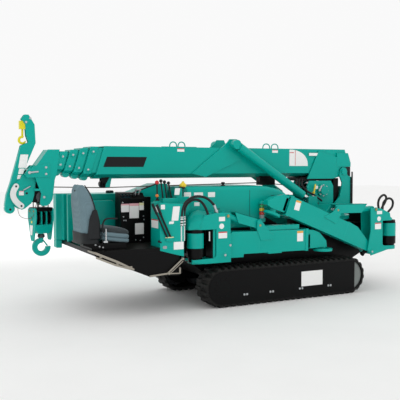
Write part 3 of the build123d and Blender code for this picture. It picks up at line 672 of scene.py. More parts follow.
def hood():
    """The engine cover: a rounded section carried along X, its top and bottom following two lines."""
    top = np.array([(-1095, 1170), (-1088, 1195), (-1072, 1203), (-205, 1203), (-190, 1203), (-150, 1199),
                    (-140, 1198), (-110, 1194), (-34, 1178), (40, 1158), (100, 1128), (160, 1080), (200, 1010),
                    (215, 940)], float)
    low = np.interp(top[:, 0], [-205, -190, -150, -140, 215], [770, 805.77, 900, 925, 938])
    rings = []
    for (x, z), foot in zip(top, low):
        c = min(45.0, (z - foot) * 0.4)
        half = 370.0
        section = [(-half, foot), (-half, z - c), (-half + 4, z - c * 0.6), (-half + 16, z - c * 0.22),
                   (-half + 42, z), (half - 42, z), (half - 16, z - c * 0.22), (half - 4, z - c * 0.6),
                   (half, z - c), (half, foot)]
        rings.append([(x, y, height) for y, height in section])
    dressed("hood", [skin(rings)], soften=0)
    slits = [box(-356, -352, -371.2, -368, 780, 1160)]
    slits += [box(x0, x1, -372, -368, z - 3, z + 3)
              for x0, x1, z in ((-771, -712, 972), (-581, -521, 934), (-85, 5, 1096))]
    slits.append(box(-726, -568, -284, -201, 1201, 1204.5))
    piece("hood_slits", slits, "chassis", "black_plastic")
    latch = [turned([(26, 0), (26, 8), (12, 10), (12, 22), (20, 26), (20, 36), (12, 40)],
                    (-581, -200, 1203), (0, 0, 1), 20)]
    piece("hood_knob", latch, "chassis", "black_plastic")
    piece("front_valve_stack", [box(1232, 1420, -400, 400, 600, 868)], "chassis", "black_enamel", soften=8)
    skid = [prism("xz", [(205, 700), (-140, 880), (-205, 740), (-205, 600), (205, 600)], -300, 300)]
    piece("engine_bay_floor", skid, "chassis", "black_enamel")


# Outriggers

ARM_Y = 530.0
FRONT = {
    "axis_x": 1440.0, "d": -1, "up": -1, "lower_pin": (1118.0, 445.0), "upper_pin": (1168.0, 922.0),
    "rod_pin": (645.0, 930.0), "angle": 158.2, "low": -9.0, "high": 203.0, "reach": 1255.0,
    "root": [(-43, -21), (5, -32), (40, -9), (420, -9), (420, 209), (406, 209), (277, 197), (118, 121),
             (-26, 48)],
    "cheek": [(1098, 941), (1103, 681), (1060, 470), (1108, 415), (1108, 402), (1415, 470),
              (1430, 498), (1290, 505), (1277, 530), (1277, 795), (1400, 800), (1384, 875), (1247, 931)],
    "cap": [(1225, 84, 930), (1240, 84, 929), (1247, 84, 929), (1320, 84, 902), (1384, 84, 873),
            (1400, 84, 862), (1430, 68, 842), (1448, 60, 815), (1455, 57, 795)],
    "ear": [(577, 911), (645, 975), (689, 886), (613, 781), (455, 861)],
    "bracket": [(1263, 10), (1263, 190), (1330, 190), (1440, 120), (1500, 58), (1490, 15), (1420, 0)],
    "float": (1380, -48, 90), "slack": (15, 14),
}
REAR = {
    "axis_x": -1080.0, "d": 1, "up": 1, "lower_pin": (-792.0, 529.0), "upper_pin": (-760.0, 917.0),
    "rod_pin": (-367.0, 805.0), "angle": -0.6, "low": -5.0, "high": 221.0, "reach": 1038.0,
    "root": [(-36, -20), (-10, -37), (232, -37), (236, -5), (420, -5), (420, 221), (95, 224), (20, 130),
             (-36, 30)],
    "cheek": [(-722, 455), (-1017, 455), (-1150, 478), (-1155, 498), (-905, 505), (-888, 530), (-888, 795),
              (-1060, 800), (-1060, 850), (-1017, 930), (-889, 951), (-730, 946)],
    "cap": [(-889, 84, 951), (-940, 84, 961), (-1017, 84, 975), (-1040, 84, 970), (-1075, 75, 962),
            (-1104, 62, 948), (-1150, 46, 912), (-1165, 39, 880), (-1172, 35, 850)],
    "ear": [(-403, 760), (-400, 850), (-367, 870), (-318, 817), (-243, 731), (-181, 676), (-218, 652),
            (-359, 649)],
    "bracket": [(1046, 10), (1046, 212), (1125, 206), (1205, 176), (1296, 84), (1306, 14)],
    "float": (1276, -14, 109), "slack": (0, 40),
}


def along(start, angle, distance, side=0.0):
    """The place at a distance along an angle in X and Z, and off to its left."""
    c, s = math.cos(math.radians(angle)), math.sin(math.radians(angle))
    return (start[0] + distance * c - side * s, start[1] + distance * s + side * c)


def on_arm(spec, points):
    """Points (along, above) of an arm, as places in X and Z."""
    return [along(spec["lower_pin"], spec["angle"], u, spec["up"] * v) for u, v in points]


def strip(spec, u0, u1, v0, v1, y0, y1):
    """A plate in line with an arm, between two distances along it and two above it."""
    return prism("xz", on_arm(spec, [(u0, v0), (u1, v0), (u1, v1), (u0, v1)]), y0, y1)


def bracket_shapes(spec):
    """The swinging bracket: two cheeks, a domed cap over the round hub, a foot and the pins' bosses."""
    x, d, y = spec["axis_x"], spec["d"], -ARM_Y
    shapes = [prism("xz", spec["cheek"], y - 85, y - 69), prism("xz", spec["cheek"], y + 69, y + 85)]
    rings = []
    for px, half, top in spec["cap"]:
        c, rise = min(22.0, (top - 790) * 0.5), top - 790
        section = [(-half, 790), (-half, 790 + rise * 0.48), (-half * 0.86, 790 + rise * 0.6),
                   (-half * 0.1, top - rise * 0.08), (half * 0.3, top), (half - c, top), (half, top - c),
                   (half, 790)]
        rings.append([(px, y + across, z) for across, z in section])
    shapes.append(skin(rings))
    shapes += [rod_z(x, y, 84, 611, 756, 48), rod_z(x, y, 84.8, 608, 622, 48)]
    shapes.append(box(*sorted((x + d * 163, x + d * 188)), y - 70, y + 70, 455, 800))
    foot = [(x + d * 188, y - 70), (x, y - 76), (x - d * 60, y - 50), (x - d * 60, y + 50),
            (x, y + 76), (x + d * 188, y + 70)]
    shapes.append(prism("xy", foot, 455, 498))
    for px, pz in (spec["lower_pin"], spec["upper_pin"]):
        shapes += [rod_y(px, pz, 24, y - 92, y - 84), rod_y(px, pz, 24, y + 84, y + 92)]
    return shapes


def arm_shapes(spec):
    """The box arm, hollow from its root to its mouth, with an end collar and the rod's ears."""
    y, low, high, reach = -ARM_Y, spec["low"], spec["high"], spec["reach"]
    shapes = [prism("xz", on_arm(spec, spec["root"]), y - 60, y + 60)]
    shapes += [strip(spec, 419, reach, low, high, y - 60, y - 48),
               strip(spec, 419, reach, low, high, y + 48, y + 60)]
    shapes += [strip(spec, 419, reach, low, low + 12, y - 49, y + 49),
               strip(spec, 419, reach, high - 12, high, y - 49, y + 49)]
    shapes += [strip(spec, reach - 36, reach - 1, low - 6, high + 6, y - 66, y - 59),
               strip(spec, reach - 36, reach - 1, low - 6, high + 6, y + 59, y + 66)]
    shapes += [strip(spec, reach - 36, reach - 1, high - 1, high + 6, y - 62, y + 62),
               strip(spec, reach - 36, reach - 1, low - 6, low + 1, y - 62, y + 62)]
    shapes += [prism("xz", spec["ear"], y - 69, y - 52), prism("xz", spec["ear"], y + 52, y + 69)]
    if spec is REAR:
        shapes += [box(-300, 140, y - 45, y + 45, 745, 795), box(-262, -95, y - 63, y + 63, 505, 530)]
    return shapes


def inner_shapes(spec):
    """The inner box with the float's bracket, its pad and neck."""
    y, low, high, reach = -ARM_Y, spec["low"], spec["high"], spec["reach"]
    under, over = spec["slack"]
    shapes = [strip(spec, reach - 610, reach + 40, low + 20 + under, high - 20 - over, y - 42, y + 42)]
    shapes.append(prism("xz", on_arm(spec, spec["bracket"]), y - 42, y + 42))
    u, v, radius = spec["float"]
    sole, top, neck = [(x, y, z) for x, z in on_arm(spec, [(u, v - 15), (u, v + 15), (u, v + 60)])]
    shapes += [rod(sole, top, radius, 48, 4), rod(top, neck, 34)]
    return shapes


def barrel_shapes(spec):
    """The cylinder's barrel, and the channel over it that guards it."""
    y, a, b = -ARM_Y, spec["upper_pin"], spec["rod_pin"]
    angle = math.degrees(math.atan2(b[1] - a[1], b[0] - a[0]))
    long = math.hypot(b[0] - a[0], b[1] - a[1])
    up = spec["up"]

    def plate(points, y0, y1):
        return prism("xz", [along(a, angle, u, up * v) for u, v in points], y0, y1)

    start, end = along(a, angle, 30), along(a, angle, long - 90)
    tube = [rod((start[0], y, start[1]), (end[0], y, end[1]), 34, 32), rod_y(a[0], a[1], 36, y - 30, y + 30)]
    gland = along(a, angle, long - 125)
    tube.append(rod((gland[0], y, gland[1]), (end[0], y, end[1]), 38, 32))
    wall = [(165, -36), (long + 20, -36), (long + 20, 64), (92, 64)]
    guard = [plate(wall, y + s * 43.5 - 2.5, y + s * 43.5 + 2.5) for s in (-1, 1)]
    guard.append(plate([(92, 58), (long + 20, 58), (long + 20, 64), (92, 64)], y - 46, y + 46))
    guard += [plate([(u, 20), (u + 20, 20), (u + 20, 59), (u, 59)], y - 20, y + 20) for u in (152, long - 130)]
    return tube + guard


def rod_shapes(spec):
    """The rod and its eye."""
    y, a, b = -ARM_Y, spec["upper_pin"], spec["rod_pin"]
    angle = math.degrees(math.atan2(b[1] - a[1], b[0] - a[0]))
    long = math.hypot(b[0] - a[0], b[1] - a[1])
    start, end = along(a, angle, long - 100), along(a, angle, long - 25)
    return [rod((start[0], y, start[1]), (end[0], y, end[1]), 22, 28), rod_y(b[0], b[1], 30, y - 24, y + 24)]


def outriggers():
    """All four, each in the five pieces that move."""
    for spec, end in ((FRONT, "front"), (REAR, "rear")):
        x, d = spec["axis_x"], spec["d"]
        # Painted shade: black fill under each bracket's cap round the hub, and a black plate over the web's
        # inner face, where the inside lies in shade.
        dark = [rod_z(x, -ARM_Y, 78, 752, 791.5, 40),
                box(*sorted((x + d * 150, x + d * 163.5)), -594, -466, 498, 790)]
        for hand in ("right", "left"):
            shapes = dark if hand == "right" else [mirrored(s) for s in dark]
            piece("bracket_shade_fill_%s_%s" % (end, hand), shapes, "rotary_%s_%s" % (end, hand), "black_enamel")
    makers = {"rotary": bracket_shapes, "arm": arm_shapes, "inner": inner_shapes,
              "barrel": barrel_shapes, "rod": rod_shapes}
    for spec, end in ((FRONT, "front"), (REAR, "rear")):
        for kind, maker in makers.items():
            shapes = maker(spec)
            for hand in ("right", "left"):
                node = "_".join((kind, end, hand))
                turned_shapes = shapes if hand == "right" else [mirrored(s) for s in shapes]
                dressed(node, turned_shapes, node, soften=2.0)


# Upper structure

MID_Z = 1447.0
COLLAR_X = (-1921.0, -2014.0, -2106.0, -2196.0, -2286.0)
FOOT = (1075.0, 1345.0)
LUFF_LUG = (-435.0, 1640.0)
DRUM = (775.0, 1130.0)
BLOCK_X = -2465.0


def section_size(i):
    """Outer height and width of telescoping section i, 0 for the base."""
    return 320.0 - 32.0 * i, 270.0 - 32.0 * i


def five_sided(height, width, x0, x1, slant=0.0):
    """A five-sided tube section along X, its point down; slant moves its top forwards."""
    top, low, w = MID_Z + height / 2, MID_Z - height / 2, width / 2
    section = [(-w, top), (w, top), (w, low + 45), (0, low), (-w, low + 45)]
    return skin([[(x + slant * (z - MID_Z), y, z) for y, z in section] for x in (x0, x1)])


def post():
    """Turntable, side plates with the boom's ears, the winch between them."""
    side = [(430, 840), (1080, 840), (1185, 960), (1185, 1285), (1130, 1300), (1105, 1385), (1060, 1400),
            (1025, 1370), (1010, 1300), (1050, 1215), (1046, 1177), (1020, 1060), (940, 975), (430, 960)]
    lug = [(475, 840), (640, 840), (600, 1070), (490, 1070)]
    shapes = [rod_z(790, 0, 395, 800, 845, 64), box(1160, 1185, -156, 156, 965, 1170)]
    shapes += both(prism("xz", side, -175, -155), prism("xz", lug, -277, -261), prism("xz", lug, -189, -173),
                   rod_y(FOOT[0], FOOT[1], 40, -186, -174))
    dressed("slewing_post", shapes, "slewing_post", soften=3)
    piece("post_hose_box", [box(948, 1020, -140, 140, 965, 1270), box(470, 940, -126, 126, 1243, 1284)],
          "slewing_post", "black_enamel", soften=4)
    front = [rod((1197, -178, 950), (1195, -178, 1345), 9), rod((1176, -182, 950), (1174, -182, 1280), 6)]
    piece("post_front_hoses", front, "slewing_post", "hose_rubber")
    plate = [(600, 845), (900, 845), (938, 1000), (938, 1180), (900, 1242), (590, 1242), (560, 1180)]
    dressed("winch_frame", both(prism("xz", plate, -150, -130)) + [box(600, 640, -131, 131, 845, 1000)],
            "slewing_post", soften=2)
    y = np.linspace(-104, 104, 24 * 8 + 1)
    wave = 69 + 4 * np.abs(np.sin((y + 104) / 208 * 24 * np.pi))
    coils = turned(np.stack([wave, y + 104], -1), (DRUM[0], -104, DRUM[1]), (0, 1, 0), 40)
    piece("winch_rope_turns", coils, "winch_drum", "wire_rope", sharp=80)
    motor = [rod_y(DRUM[0], DRUM[1], 74, -175, -151, 36), rod_y(DRUM[0], DRUM[1], 52, -200, -174, 28)]
    piece("winch_motor", motor, "slewing_post", "green_enamel", soften=1.5)
    ring = [(DRUM[0] + 62 * math.cos(t), -175.0, DRUM[1] + 62 * math.sin(t))
            for t in np.linspace(0, 6.283, 9)[:-1]]
    piece("winch_bolts", bolts(ring, NEAR, 8.0), "slewing_post", "zinc")
    piece("winch_tag", [slab(rect_xz(655, 690, 1150, 1185, -179), NEAR, 1.2, 3)], "slewing_post", "white_vinyl")
    levers = [rod((620, -196, 1105), (640, -196, 1205), 9), rod((700, -196, 1130), (735, -196, 1190), 8)]
    yellow = levers[:1] + [rod_y(622, 1108, 13, -200, -176)]
    piece("winch_lever_yellow", yellow, "slewing_post", "yellow_plastic")
    piece("winch_lever_plain", levers[1:] + [rod_y(702, 1132, 12, -200, -176)], "slewing_post", "zinc")


def upper_hoses():
    """The bundle of hoses between the post and the boom's foot, each a smooth curve in clamps."""
    runs = [[(430, -130, 1262), (400, -150, 1170), (450, -165, 1080), (560, -178, 1010), (660, -182, 960)],
            [(470, -120, 1262), (445, -150, 1180), (480, -172, 1110), (580, -186, 1040), (690, -186, 980)],
            [(510, -118, 1262), (490, -150, 1190), (530, -180, 1130), (640, -192, 1070), (740, -190, 1010)]]
    shapes = [swept(smooth_path(run, 36), 11.0) for run in runs]
    piece("post_hoses", shapes, "slewing_post", "hose_rubber", sharp=60)
    piece("post_hose_clamps", [box(600, 622, -200, -172, 985, 1075)],
          "slewing_post", "zinc", soften=1.5)


def boom():
    """What the boom's solids lack: gussets, lugs, rings' pads, hoops, rope guides and the head."""
    gusset = [(-927, 1335), (-762, 1297), (-330, 1480), (-330, 1600), (-380, 1700), (-470, 1700), (-500, 1660)]
    foot = [(560, 1265), (930, 1265), (1040, 1290), (1120, 1330), (1150, 1400), (1040, 1500), (720, 1590)]
    shapes = both(prism("xz", gusset, -151.5, -133), rod_y(*LUFF_LUG, 40, -195, -150, 40),
                  prism("xz", foot, -150.5, -133), rod_y(*FOOT, 62, -153.5, -148, 40))
    shapes.append(box(-1264, -863, -136.5, -133, 1606, 1612))
    cover = [(985, 1405), (1192, 1405), (1192, 1450), (1150, 1566), (985, 1566)]
    shapes.append(prism("xz", cover, -154.2, 154.2))
    # Painted shade: a black block at the boom's end between the post's ears, standing for the shadow there.
    piece("boom_end_shade_block", [box(1112, 1190, -152.5, 152.5, 1292, 1404)], "boom_base", "black_plastic", soften=4)
    piece("boom_gussets", shapes, "boom_base", "green_enamel", soften=2)
    hoops = []
    for x0, x1, peak in ((-1156, -1075, 1661), (-1060, -980, 1661), (-17, 75, 1658), (95, 186, 1658)):
        t = np.linspace(0, np.pi, 17)
        path = np.stack([(x0 + x1) / 2 - (x1 - x0) / 2 * np.cos(t), np.full(17, -100.0),
                         1604 + (peak - 1604) * np.sin(t) ** 0.7], -1)
        hoops.append(swept(path, 6.0))
    piece("boom_hoops", hoops, "boom_base", "green_enamel", sharp=60)
    x, z, low = -1847.0, 1233.0, MID_Z - 160
    bracket = [(x - 20, z - 16), (x + 14, z - 16), (x + 70, low + 30), (x - 20, low + 30)]
    guides = [rod_y(x, z, 38, -26, 26), rod_y(x, z, 12, -38, 38)] + both(prism("xz", bracket, -38, -30))
    guides += [box(-13, 190, -40, 40, 1199, 1300)]
    piece("rope_guides", guides, "boom_base", "black_enamel", soften=2)
    side = [(x + 20, z - 34), (x + 66, z - 30), (x + 90, low + 30), (x + 20, low + 30)]
    piece("rope_roller_side", [prism("xz", side, -34, 34)], "boom_base", "green_enamel", soften=2)
    rope = [(-2355, 0, 1211), (-1847, 0, 1197), (-14, 0, 1225), (690, 0, 1168)]
    piece("hoist_rope", [rod(a, b, 5.0, 12) for a, b in zip(rope, rope[1:])], "boom_base", "wire_rope")
    for i in (1, 2, 3, 4):
        height, width = section_size(i)
        bottom, face = MID_Z - height / 2, width / 2 + 10
        pads, heads = [rod_y(COLLAR_X[i] - 34, bottom + 4, 36, -40, 40, 32)], []
        for z in (MID_Z + height / 2 - 40, bottom + 75):
            px = COLLAR_X[i] + 100.0 * (z - MID_Z) / 320.0
            pads += both(rod_y(px, z, 22, -face - 7, -face + 4, 24))
            heads.append((px, -face - 7, z))
        body = "boom_section_%d" % (i + 1)
        piece("ring_pads_%d" % (i + 1), pads, body, "green_enamel")
        piece("ring_bolts_%d" % (i + 1), both(bolts(heads, NEAR, 9.0)), body, "zinc")
    head()


def head():
    """The last section's tube and ring with the head's plates, sheaves and the cheeks before it."""
    height, width = section_size(4)
    shapes = [five_sided(height, width, COLLAR_X[4], 760.0),
              five_sided(height + 20, width + 20, COLLAR_X[4] - 39, COLLAR_X[4] + 39, 100.0 / 320.0)]
    side = [(-2300, 1570), (-2412, 1568), (-2520, 1420), (-2610, 1375), (-2630, 1329), (-2612, 1304),
            (-2530, 1304), (-2526, 1277), (-2480, 1154), (-2492, 1060), (-2478, 1037), (-2430, 1037),
            (-2400, 1055), (-2372, 1100), (-2350, 1284), (-2330, 1340)]
    patch = [(-2400, 1431), (-2515, 1420), (-2606, 1375), (-2624, 1329), (-2608, 1306), (-2400, 1306)]
    shapes += both(prism("xz", side, -90, -76), prism("xz", patch, -96, -89))
    shapes.append(prism("xz", [(-2300, 1565), (-2412, 1565), (-2518, 1420), (-2606, 1375), (-2560, 1340),
                               (-2330, 1345)], -80, 80))
    shapes.append(rod_y(-2455, 1120, 20, -96, 96))
    neck = [(-2670, 1290), (-2752, 1209), (-2757, 1144), (-2742, 1096), (-2714, 1037), (-2678, 1013),
            (-2653, 1005), (-2624, 1015), (-2566, 1060), (-2549, 1091), (-2527, 1196), (-2521, 1268),
            (-2500, 1420), (-2560, 1420)]
    shapes += both(prism("xz", neck, -48.5, -39), rod_y(-2612, 1158, 78, -50, -38, 48))
    shapes.append(box(-2540, -2470, -91, 91, 1180, 1200))
    dressed("boom_section_5", shapes, "boom_section_5", soften=1.5)
    # Painted shade: a black plate inside the head behind the neck, standing for the shadow between the head's
    # plates.
    inside = [(-2548, 1070), (-2470, 1060), (-2470, 1300), (-2520, 1300)]
    piece("head_shade_plate", both(prism("xz", inside, -34, -26)),
          "boom_section_5", "black_enamel")
    sheaves = []
    for y in (-45.0, 0.0, 45.0):
        sheaves.append(turned([(30, 0), (62, 2), (62, 5), (52, 10), (62, 15), (62, 18), (30, 20)],
                              (-2455, y - 10, 1120), (0, 1, 0), 40))
    piece("head_sheaves", sheaves, "boom_section_5", "grey_steel")
    piece("head_bolts", bolts([(-2433, -96, 1400), (-2433, -96, 1338), (-2455, -96, 1120)], NEAR, 10.0),
          "boom_section_5", "zinc")
    piece("head_pin", [rod((-2590, -99, 1352), (-2506, -99, 1360), 9), rod_y(-2590, 1352, 14, -108, -94)],
          "boom_section_5", "zinc")
    middle = smooth_path([(-2704, -53, 1224), (-2727, -53, 1182), (-2732, -53, 1138), (-2716, -53, 1097),
                          (-2690, -53, 1066), (-2658, -53, 1040)], 24)[:, [0, 2]]
    run = np.gradient(middle, axis=0)
    out = np.stack([-run[:, 1], run[:, 0]], -1) / np.linalg.norm(run, axis=1)[:, None] * 27.0
    band = np.concatenate([middle + out, (middle - out)[::-1]])
    ends = [(-2704, 1224), (-2658, 1040)]
    lock = [prism("xz", band, -56, -50.5)] + [rod_y(x, z, 27, -55.8, -50.6, 28) for x, z in ends]
    piece("searcher_lock_plate", lock, "boom_section_5", "white_pipe", soften=1)
    holes = [rod_y(x, z, 10, -57.5, -50) for x, z in ends] + [rod_y(-2606, 1157, 11, -51.5, -49)]
    piece("lock_plate_holes", holes, "boom_section_5", "black_plastic")
    piece("searcher_latch", [box(-2680, -2636, -66, -50, 1140, 1172)], "boom_section_5", "white_pipe", soften=2)
    piece("searcher_latch_bar", [rod((-2640, -60, 1186), (-2574, -60, 1223), 6)], "boom_section_5", "zinc")
    piece("searcher_latch_top", [box(-2678, -2638, -64, -52, 1172, 1180)], "boom_section_5", "pink_vinyl")
    wire = smooth_path([(-2686, -52, 1030), (-2691, -55, 1004), (-2674, -60, 949), (-2629, -65, 923),
                        (-2585, -68, 922), (-2552, -64, 945), (-2530, -52, 1020), (-2500, -40, 1090)], 48)
    piece("latch_wire", [swept(wire, 2.2, 8)], "boom_section_5", "wire_rope", sharp=70)


def turned_about_z(shape, degrees, x):
    """A shape turned about an upright line at (x, 0), given round the origin."""
    verts, faces = shape
    c, s = math.cos(math.radians(degrees)), math.sin(math.radians(degrees))
    verts = np.asarray(verts) @ np.array([[c, s, 0], [-s, c, 0], [0, 0, 1.0]])
    return verts + (x, 0, 0), faces


def hook_block():
    """The turned block: tapered cheeks, sheaves, swivel housing, the rope's falls, and the hook's collar."""
    def turn(shapes):
        return [turned_about_z(shape, -76.0, BLOCK_X) for shape in shapes]

    cheek = [(-60, 1015), (60, 1015), (78, 1000), (82, 920), (30, 712), (18, 702), (-18, 702), (-30, 712),
             (-82, 920), (-78, 1000)]
    divider = [(-70, 985), (70, 985), (70, 852), (-70, 852)]
    plates = both(prism("xz", cheek, -94, -82), prism("xz", divider, -30, -22))
    plates.append(prism("yz", [(-83, 856), (83, 856), (83, 800), (55, 772), (-55, 772), (-83, 800)], -60, 60))
    plates.append(rod_y(0, 920, 16, -100, 100))
    dressed("hook_block", turn(plates), "hook_block", soften=2)
    wheels = [turned([(24, 0), (64, 3), (64, 10), (48, 20), (64, 30), (64, 37), (24, 40)],
                     (0, y - 20, 920), (0, 1, 0), 40) for y in (-56.0, 0.0, 56.0)]
    wheels.append(box(-76, 76, -81, 81, 985, 1020))
    piece("block_sheaves", turn(wheels), "hook_block", "black_enamel", soften=0.8)
    spots, _ = turned_about_z(([(0, y, z) for y in (-56, 0, 56) for z in (925, 1110)], []), -76.0, BLOCK_X)
    falls = [rod(low + (dx, 0, 0), high + (dx, 0, 0), 5.0, 12)
             for low, high in zip(spots[::2], spots[1::2]) for dx in (-20, 20)]
    piece("rope_falls", falls, "hook_block", "wire_rope")
    heads = [bolts([(-40, -94, 985), (40, -94, 985), (0, -100, 920)], NEAR, 8.0),
             bolts([(-60, -40, 815), (-60, 40, 815)], (-1, 0, 0), 8.0)]
    piece("block_bolts", turn(heads), "hook_block", "brass")
    plate = [(-30, -95, 758), (6, -95, 758), (22, -95, 852), (-40, -95, 852)]
    piece("block_plate", turn([slab(plate, NEAR, 1.2, 4)]), "hook_block", "white_vinyl")
    piece("block_spot", turn([slab([(-12, -95, 872), (12, -95, 872), (12, -95, 894), (-12, -95, 894)],
                                   NEAR, 1.2, 6)]), "hook_block", "yellow_vinyl")
    piece("hook_collar", [turned([(22, 0), (32, 3), (34, 8), (34, 28), (30, 34), (24, 36)],
                                 (BLOCK_X, 0, 728), (0, 0, 1), 32)], "load_hook", "grey_steel")


def searcher():
    """The folded hook arm: a box below and a channel above, with the small yellow hook in it."""
    outline = [(-2718, 1030), (-2690, 1200), (-2580, 1469), (-2512, 1628), (-2520, 1802), (-2575, 1893),
               (-2612, 1893), (-2642, 1852), (-2606, 1800), (-2600, 1700), (-2578, 1635), (-2650, 1604),
               (-2688, 1468), (-2750, 1255), (-2788, 1144), (-2804, 1040)]
    web = [(-2530, 1592), (-2512, 1628), (-2520, 1802), (-2575, 1893), (-2612, 1893), (-2612, 1852),
           (-2590, 1852), (-2545, 1790), (-2545, 1660), (-2556, 1625), (-2600, 1592)]
    lower = [(-2718, 1030), (-2690, 1200), (-2580, 1469), (-2530, 1592), (-2648, 1592), (-2688, 1468),
             (-2750, 1255), (-2788, 1144), (-2804, 1040)]
    shapes = both(prism("xz", outline, -30, -22))
    shapes += [prism("xz", web, -22.5, 22.5), prism("xz", lower, -22.5, 22.5)]
    shapes.append(rod_y(-2759, 1016, 46, -30.6, 30.6, 40))
    dressed("searcher_arm", shapes, "searcher_arm", soften=1.5)
    t = np.linspace(np.radians(-168), np.radians(112), 40)
    radius = np.interp(np.arange(40), [0, 6, 20, 39], [5, 10, 12.5, 11])
    path = np.stack([-2631 - 30 * np.cos(t), np.zeros(40), 1655 + 30 * np.sin(t)], -1)
    small = [swept(path[::-1], radius[::-1], 16), rod((-2630, 0, 1680), (-2628, 0, 1765), 10),
             box(-2658, -2590, -20, 20, 1757, 1835), rod_y(-2600, 1822, 9, -36, 36)]
    piece("small_hook", small, "searcher_arm", "yellow_enamel", soften=2, sharp=50)
    piece("searcher_bolts", bolts([(-2600, -36, 1822), (-2560, -30, 1860)], NEAR, 10.0), "searcher_arm", "zinc")
    piece("searcher_pin_hole", [rod_y(-2755, 1008, 11, -31.5, -29)], "searcher_arm", "black_plastic")


# Levers and controls

def ball(centre, radius):
    """A turned ball: radius and height follow a half circle."""
    t = np.linspace(0.15, np.pi - 0.15, 11)
    return turned(np.stack([radius * np.sin(t), radius - radius * np.cos(t)], -1),
                  np.asarray(centre, float) - (0, 0, radius), (0, 0, 1), 20)


def controls():
    """Travel levers beside the cabinet, crane levers on it, and the console's switches."""
    travel = [((-1575, 1060), (-1422, 732)), ((-1530, 1050), (-1386, 734))]
    bars = [rod((a[0], -618, a[1]), (b[0], -618, b[1]), 9) for a, b in travel]
    bars += [rod((a[0], -618, a[1]), (a[0] + (b[0] - a[0]) * 0.3, -618, a[1] + (b[1] - a[1]) * 0.3), 13)
             for a, b in travel]
    dressed("control_levers", bars, soften=1.5)
    verts, faces = turned([(8, 0), (60, 0), (62, 4), (56, 8), (8, 9)], (0, 0, 0), (0, 0, 1), 32)
    flat = verts * (0.75, 0.22, 1.0) + (-1397, -616, 732)
    piece("lever_foot_plate", [(flat, faces)], "chassis", "cream_film")
    piece("lever_foot", [box(-1432, -1358, -622, -603, 700, 731)], "chassis", "green_enamel", soften=4)
    levers, knobs = [], []
    for foot, x, z in ((-1367, -1394, 1267), (-1324, -1356, 1257), (-1270, -1313, 1246)):
        levers.append(rod((foot, -410, 1050), (x, -410, z), 7))
        knobs.append(ball((x, -410, z), 17))
    levers.append(rod((-1432, -410, 1050), (-1436, -410, 1245), 7))
    piece("crane_levers", levers, "chassis", "black_plastic")
    piece("lever_knobs", knobs, "chassis", "black_plastic")
    piece("lever_knob_red", [ball((-1436, -410, 1253), 20)], "chassis", "red_plastic")
    piece("lever_knob_orange", [ball((-1448, -440, 1125), 16)], "chassis", "orange_plastic")
    piece("lever_gate", [box(-1470, -1250, -445, -388, 1045, 1075), box(-1400, -1245, -480, -400, 1045, 1100),
                         rod_z(-1200, -400, 40, 1045, 1196, 28), box(-1240, -1100, -440, -360, 900, 1110)],
          "chassis", "green_enamel", soften=4)
    boot = [(22, 0), (20, 8), (14, 14), (14, 20), (9, 28)]
    boots = [turned(boot, (x, -410, 1074), (0, 0, 1), 20) for x in (-1432, -1371, -1329, -1276)]
    piece("lever_boots", boots, "chassis", "black_plastic")
    stem = [rod((-1176, -405, 1110), (-1165, -405, 1205), 20),
            rod((-1165, -405, 1190), (-1164, -405, 1206), 34)]
    piece("valve_stem", stem, "chassis", "black_plastic")
    t = np.linspace(0, 2 * np.pi, 40, endpoint=False)
    star = 30 + 7 * np.cos(5 * t)
    rings = [np.stack([-1152 + s * star * np.cos(t), -405 + s * star * np.sin(t), np.full(40, z)], -1)
             for s, z in ((0.8, 1205), (1, 1212), (1, 1228), (0.7, 1238), (0.35, 1250), (0.3, 1262))]
    piece("valve_knob", [skin(rings)], "chassis", "yellow_plastic", sharp=50)
    label = [(-1270, -452, 1130), (-1216, -452, 1130), (-1200, -440, 1195), (-1256, -440, 1195)]
    piece("valve_label", [slab(label, (0, -1, 0.3), 1.2, 5)], "chassis", "white_vinyl")
    piece("cabinet_hook", [rod((-1508, -606, 700), (-1480, -612, 690), 8), ball((-1505, -610, 702), 12)],
          "chassis", "black_plastic")

    profile = [(9, 0), (9, 10), (13, 12), (13, 24), (10, 28)]
    knobs = [turned(profile, (-1685 + 35 * i, -78, 1100 + i), (0, -0.35, 1), 20) for i in range(6)]
    piece("console_switches", knobs, "chassis", "black_plastic")
    display = [(-1682, -98, 1088), (-1588, -98, 1088), (-1588, -60, 1128), (-1682, -60, 1128)]
    bezel = [(-1690, -99, 1084), (-1580, -99, 1084), (-1580, -56, 1130), (-1690, -56, 1130)]
    piece("console_frame", [slab(bezel, (0, -0.7, 0.7), 5, 6)], "chassis", "black_plastic")
    piece("console_display", [slab(display, (0, -0.7, 0.7), 7, 4)], "chassis", "screen")
    stalk = [rod((-1530, -70, 1110), (-1520, -72, 1165), 6), ball((-1519, -72, 1172), 14),
             rod((-1490, -60, 1115), (-1478, -70, 1160), 6), ball((-1476, -71, 1166), 13)]
    piece("console_joysticks", stalk, "chassis", "grey_plastic")
    piece("console_lamp", [rod_z(-1425, -60, 15, 1040, 1100, 24)], "chassis", "orange_plastic")
    spots = [(x, -100, z) for x, z in (
        (-1672, 1048), (-1452, 1048), (-1664, 905), (-1660, 868), (-1640, 868), (-1450, 905), (-1444, 870),
        (-1450, 690), (-1535, 668), (-1485, 660))]
    piece("console_side", [box(-1431.5, -1368, -99, -21, 641, 1100)], "chassis", "black_enamel", soften=3)
    piece("console_screws", bolts(spots, NEAR, 6.5), "chassis", "zinc")


# Blank plates, where the photograph shows them

def rect_xz(x0, x1, z0, z1, y, lean=0.0):
    """The corners of a plate in X and Z at one Y; lean moves its top edge forwards."""
    return [(x0, y, z0), (x1, y, z0), (x1 + lean, y, z1), (x0 + lean, y, z1)]


def plates(name, rows, body, material="white_vinyl", rounding=5, normal=NEAR, thickness=1.2):
    """Flat plates, each given by X from and to, Z from and to, its Y and its lean."""
    shapes = [slab(rect_xz(*row), normal, thickness, rounding) for row in rows]
    return piece(name, shapes, body, material)


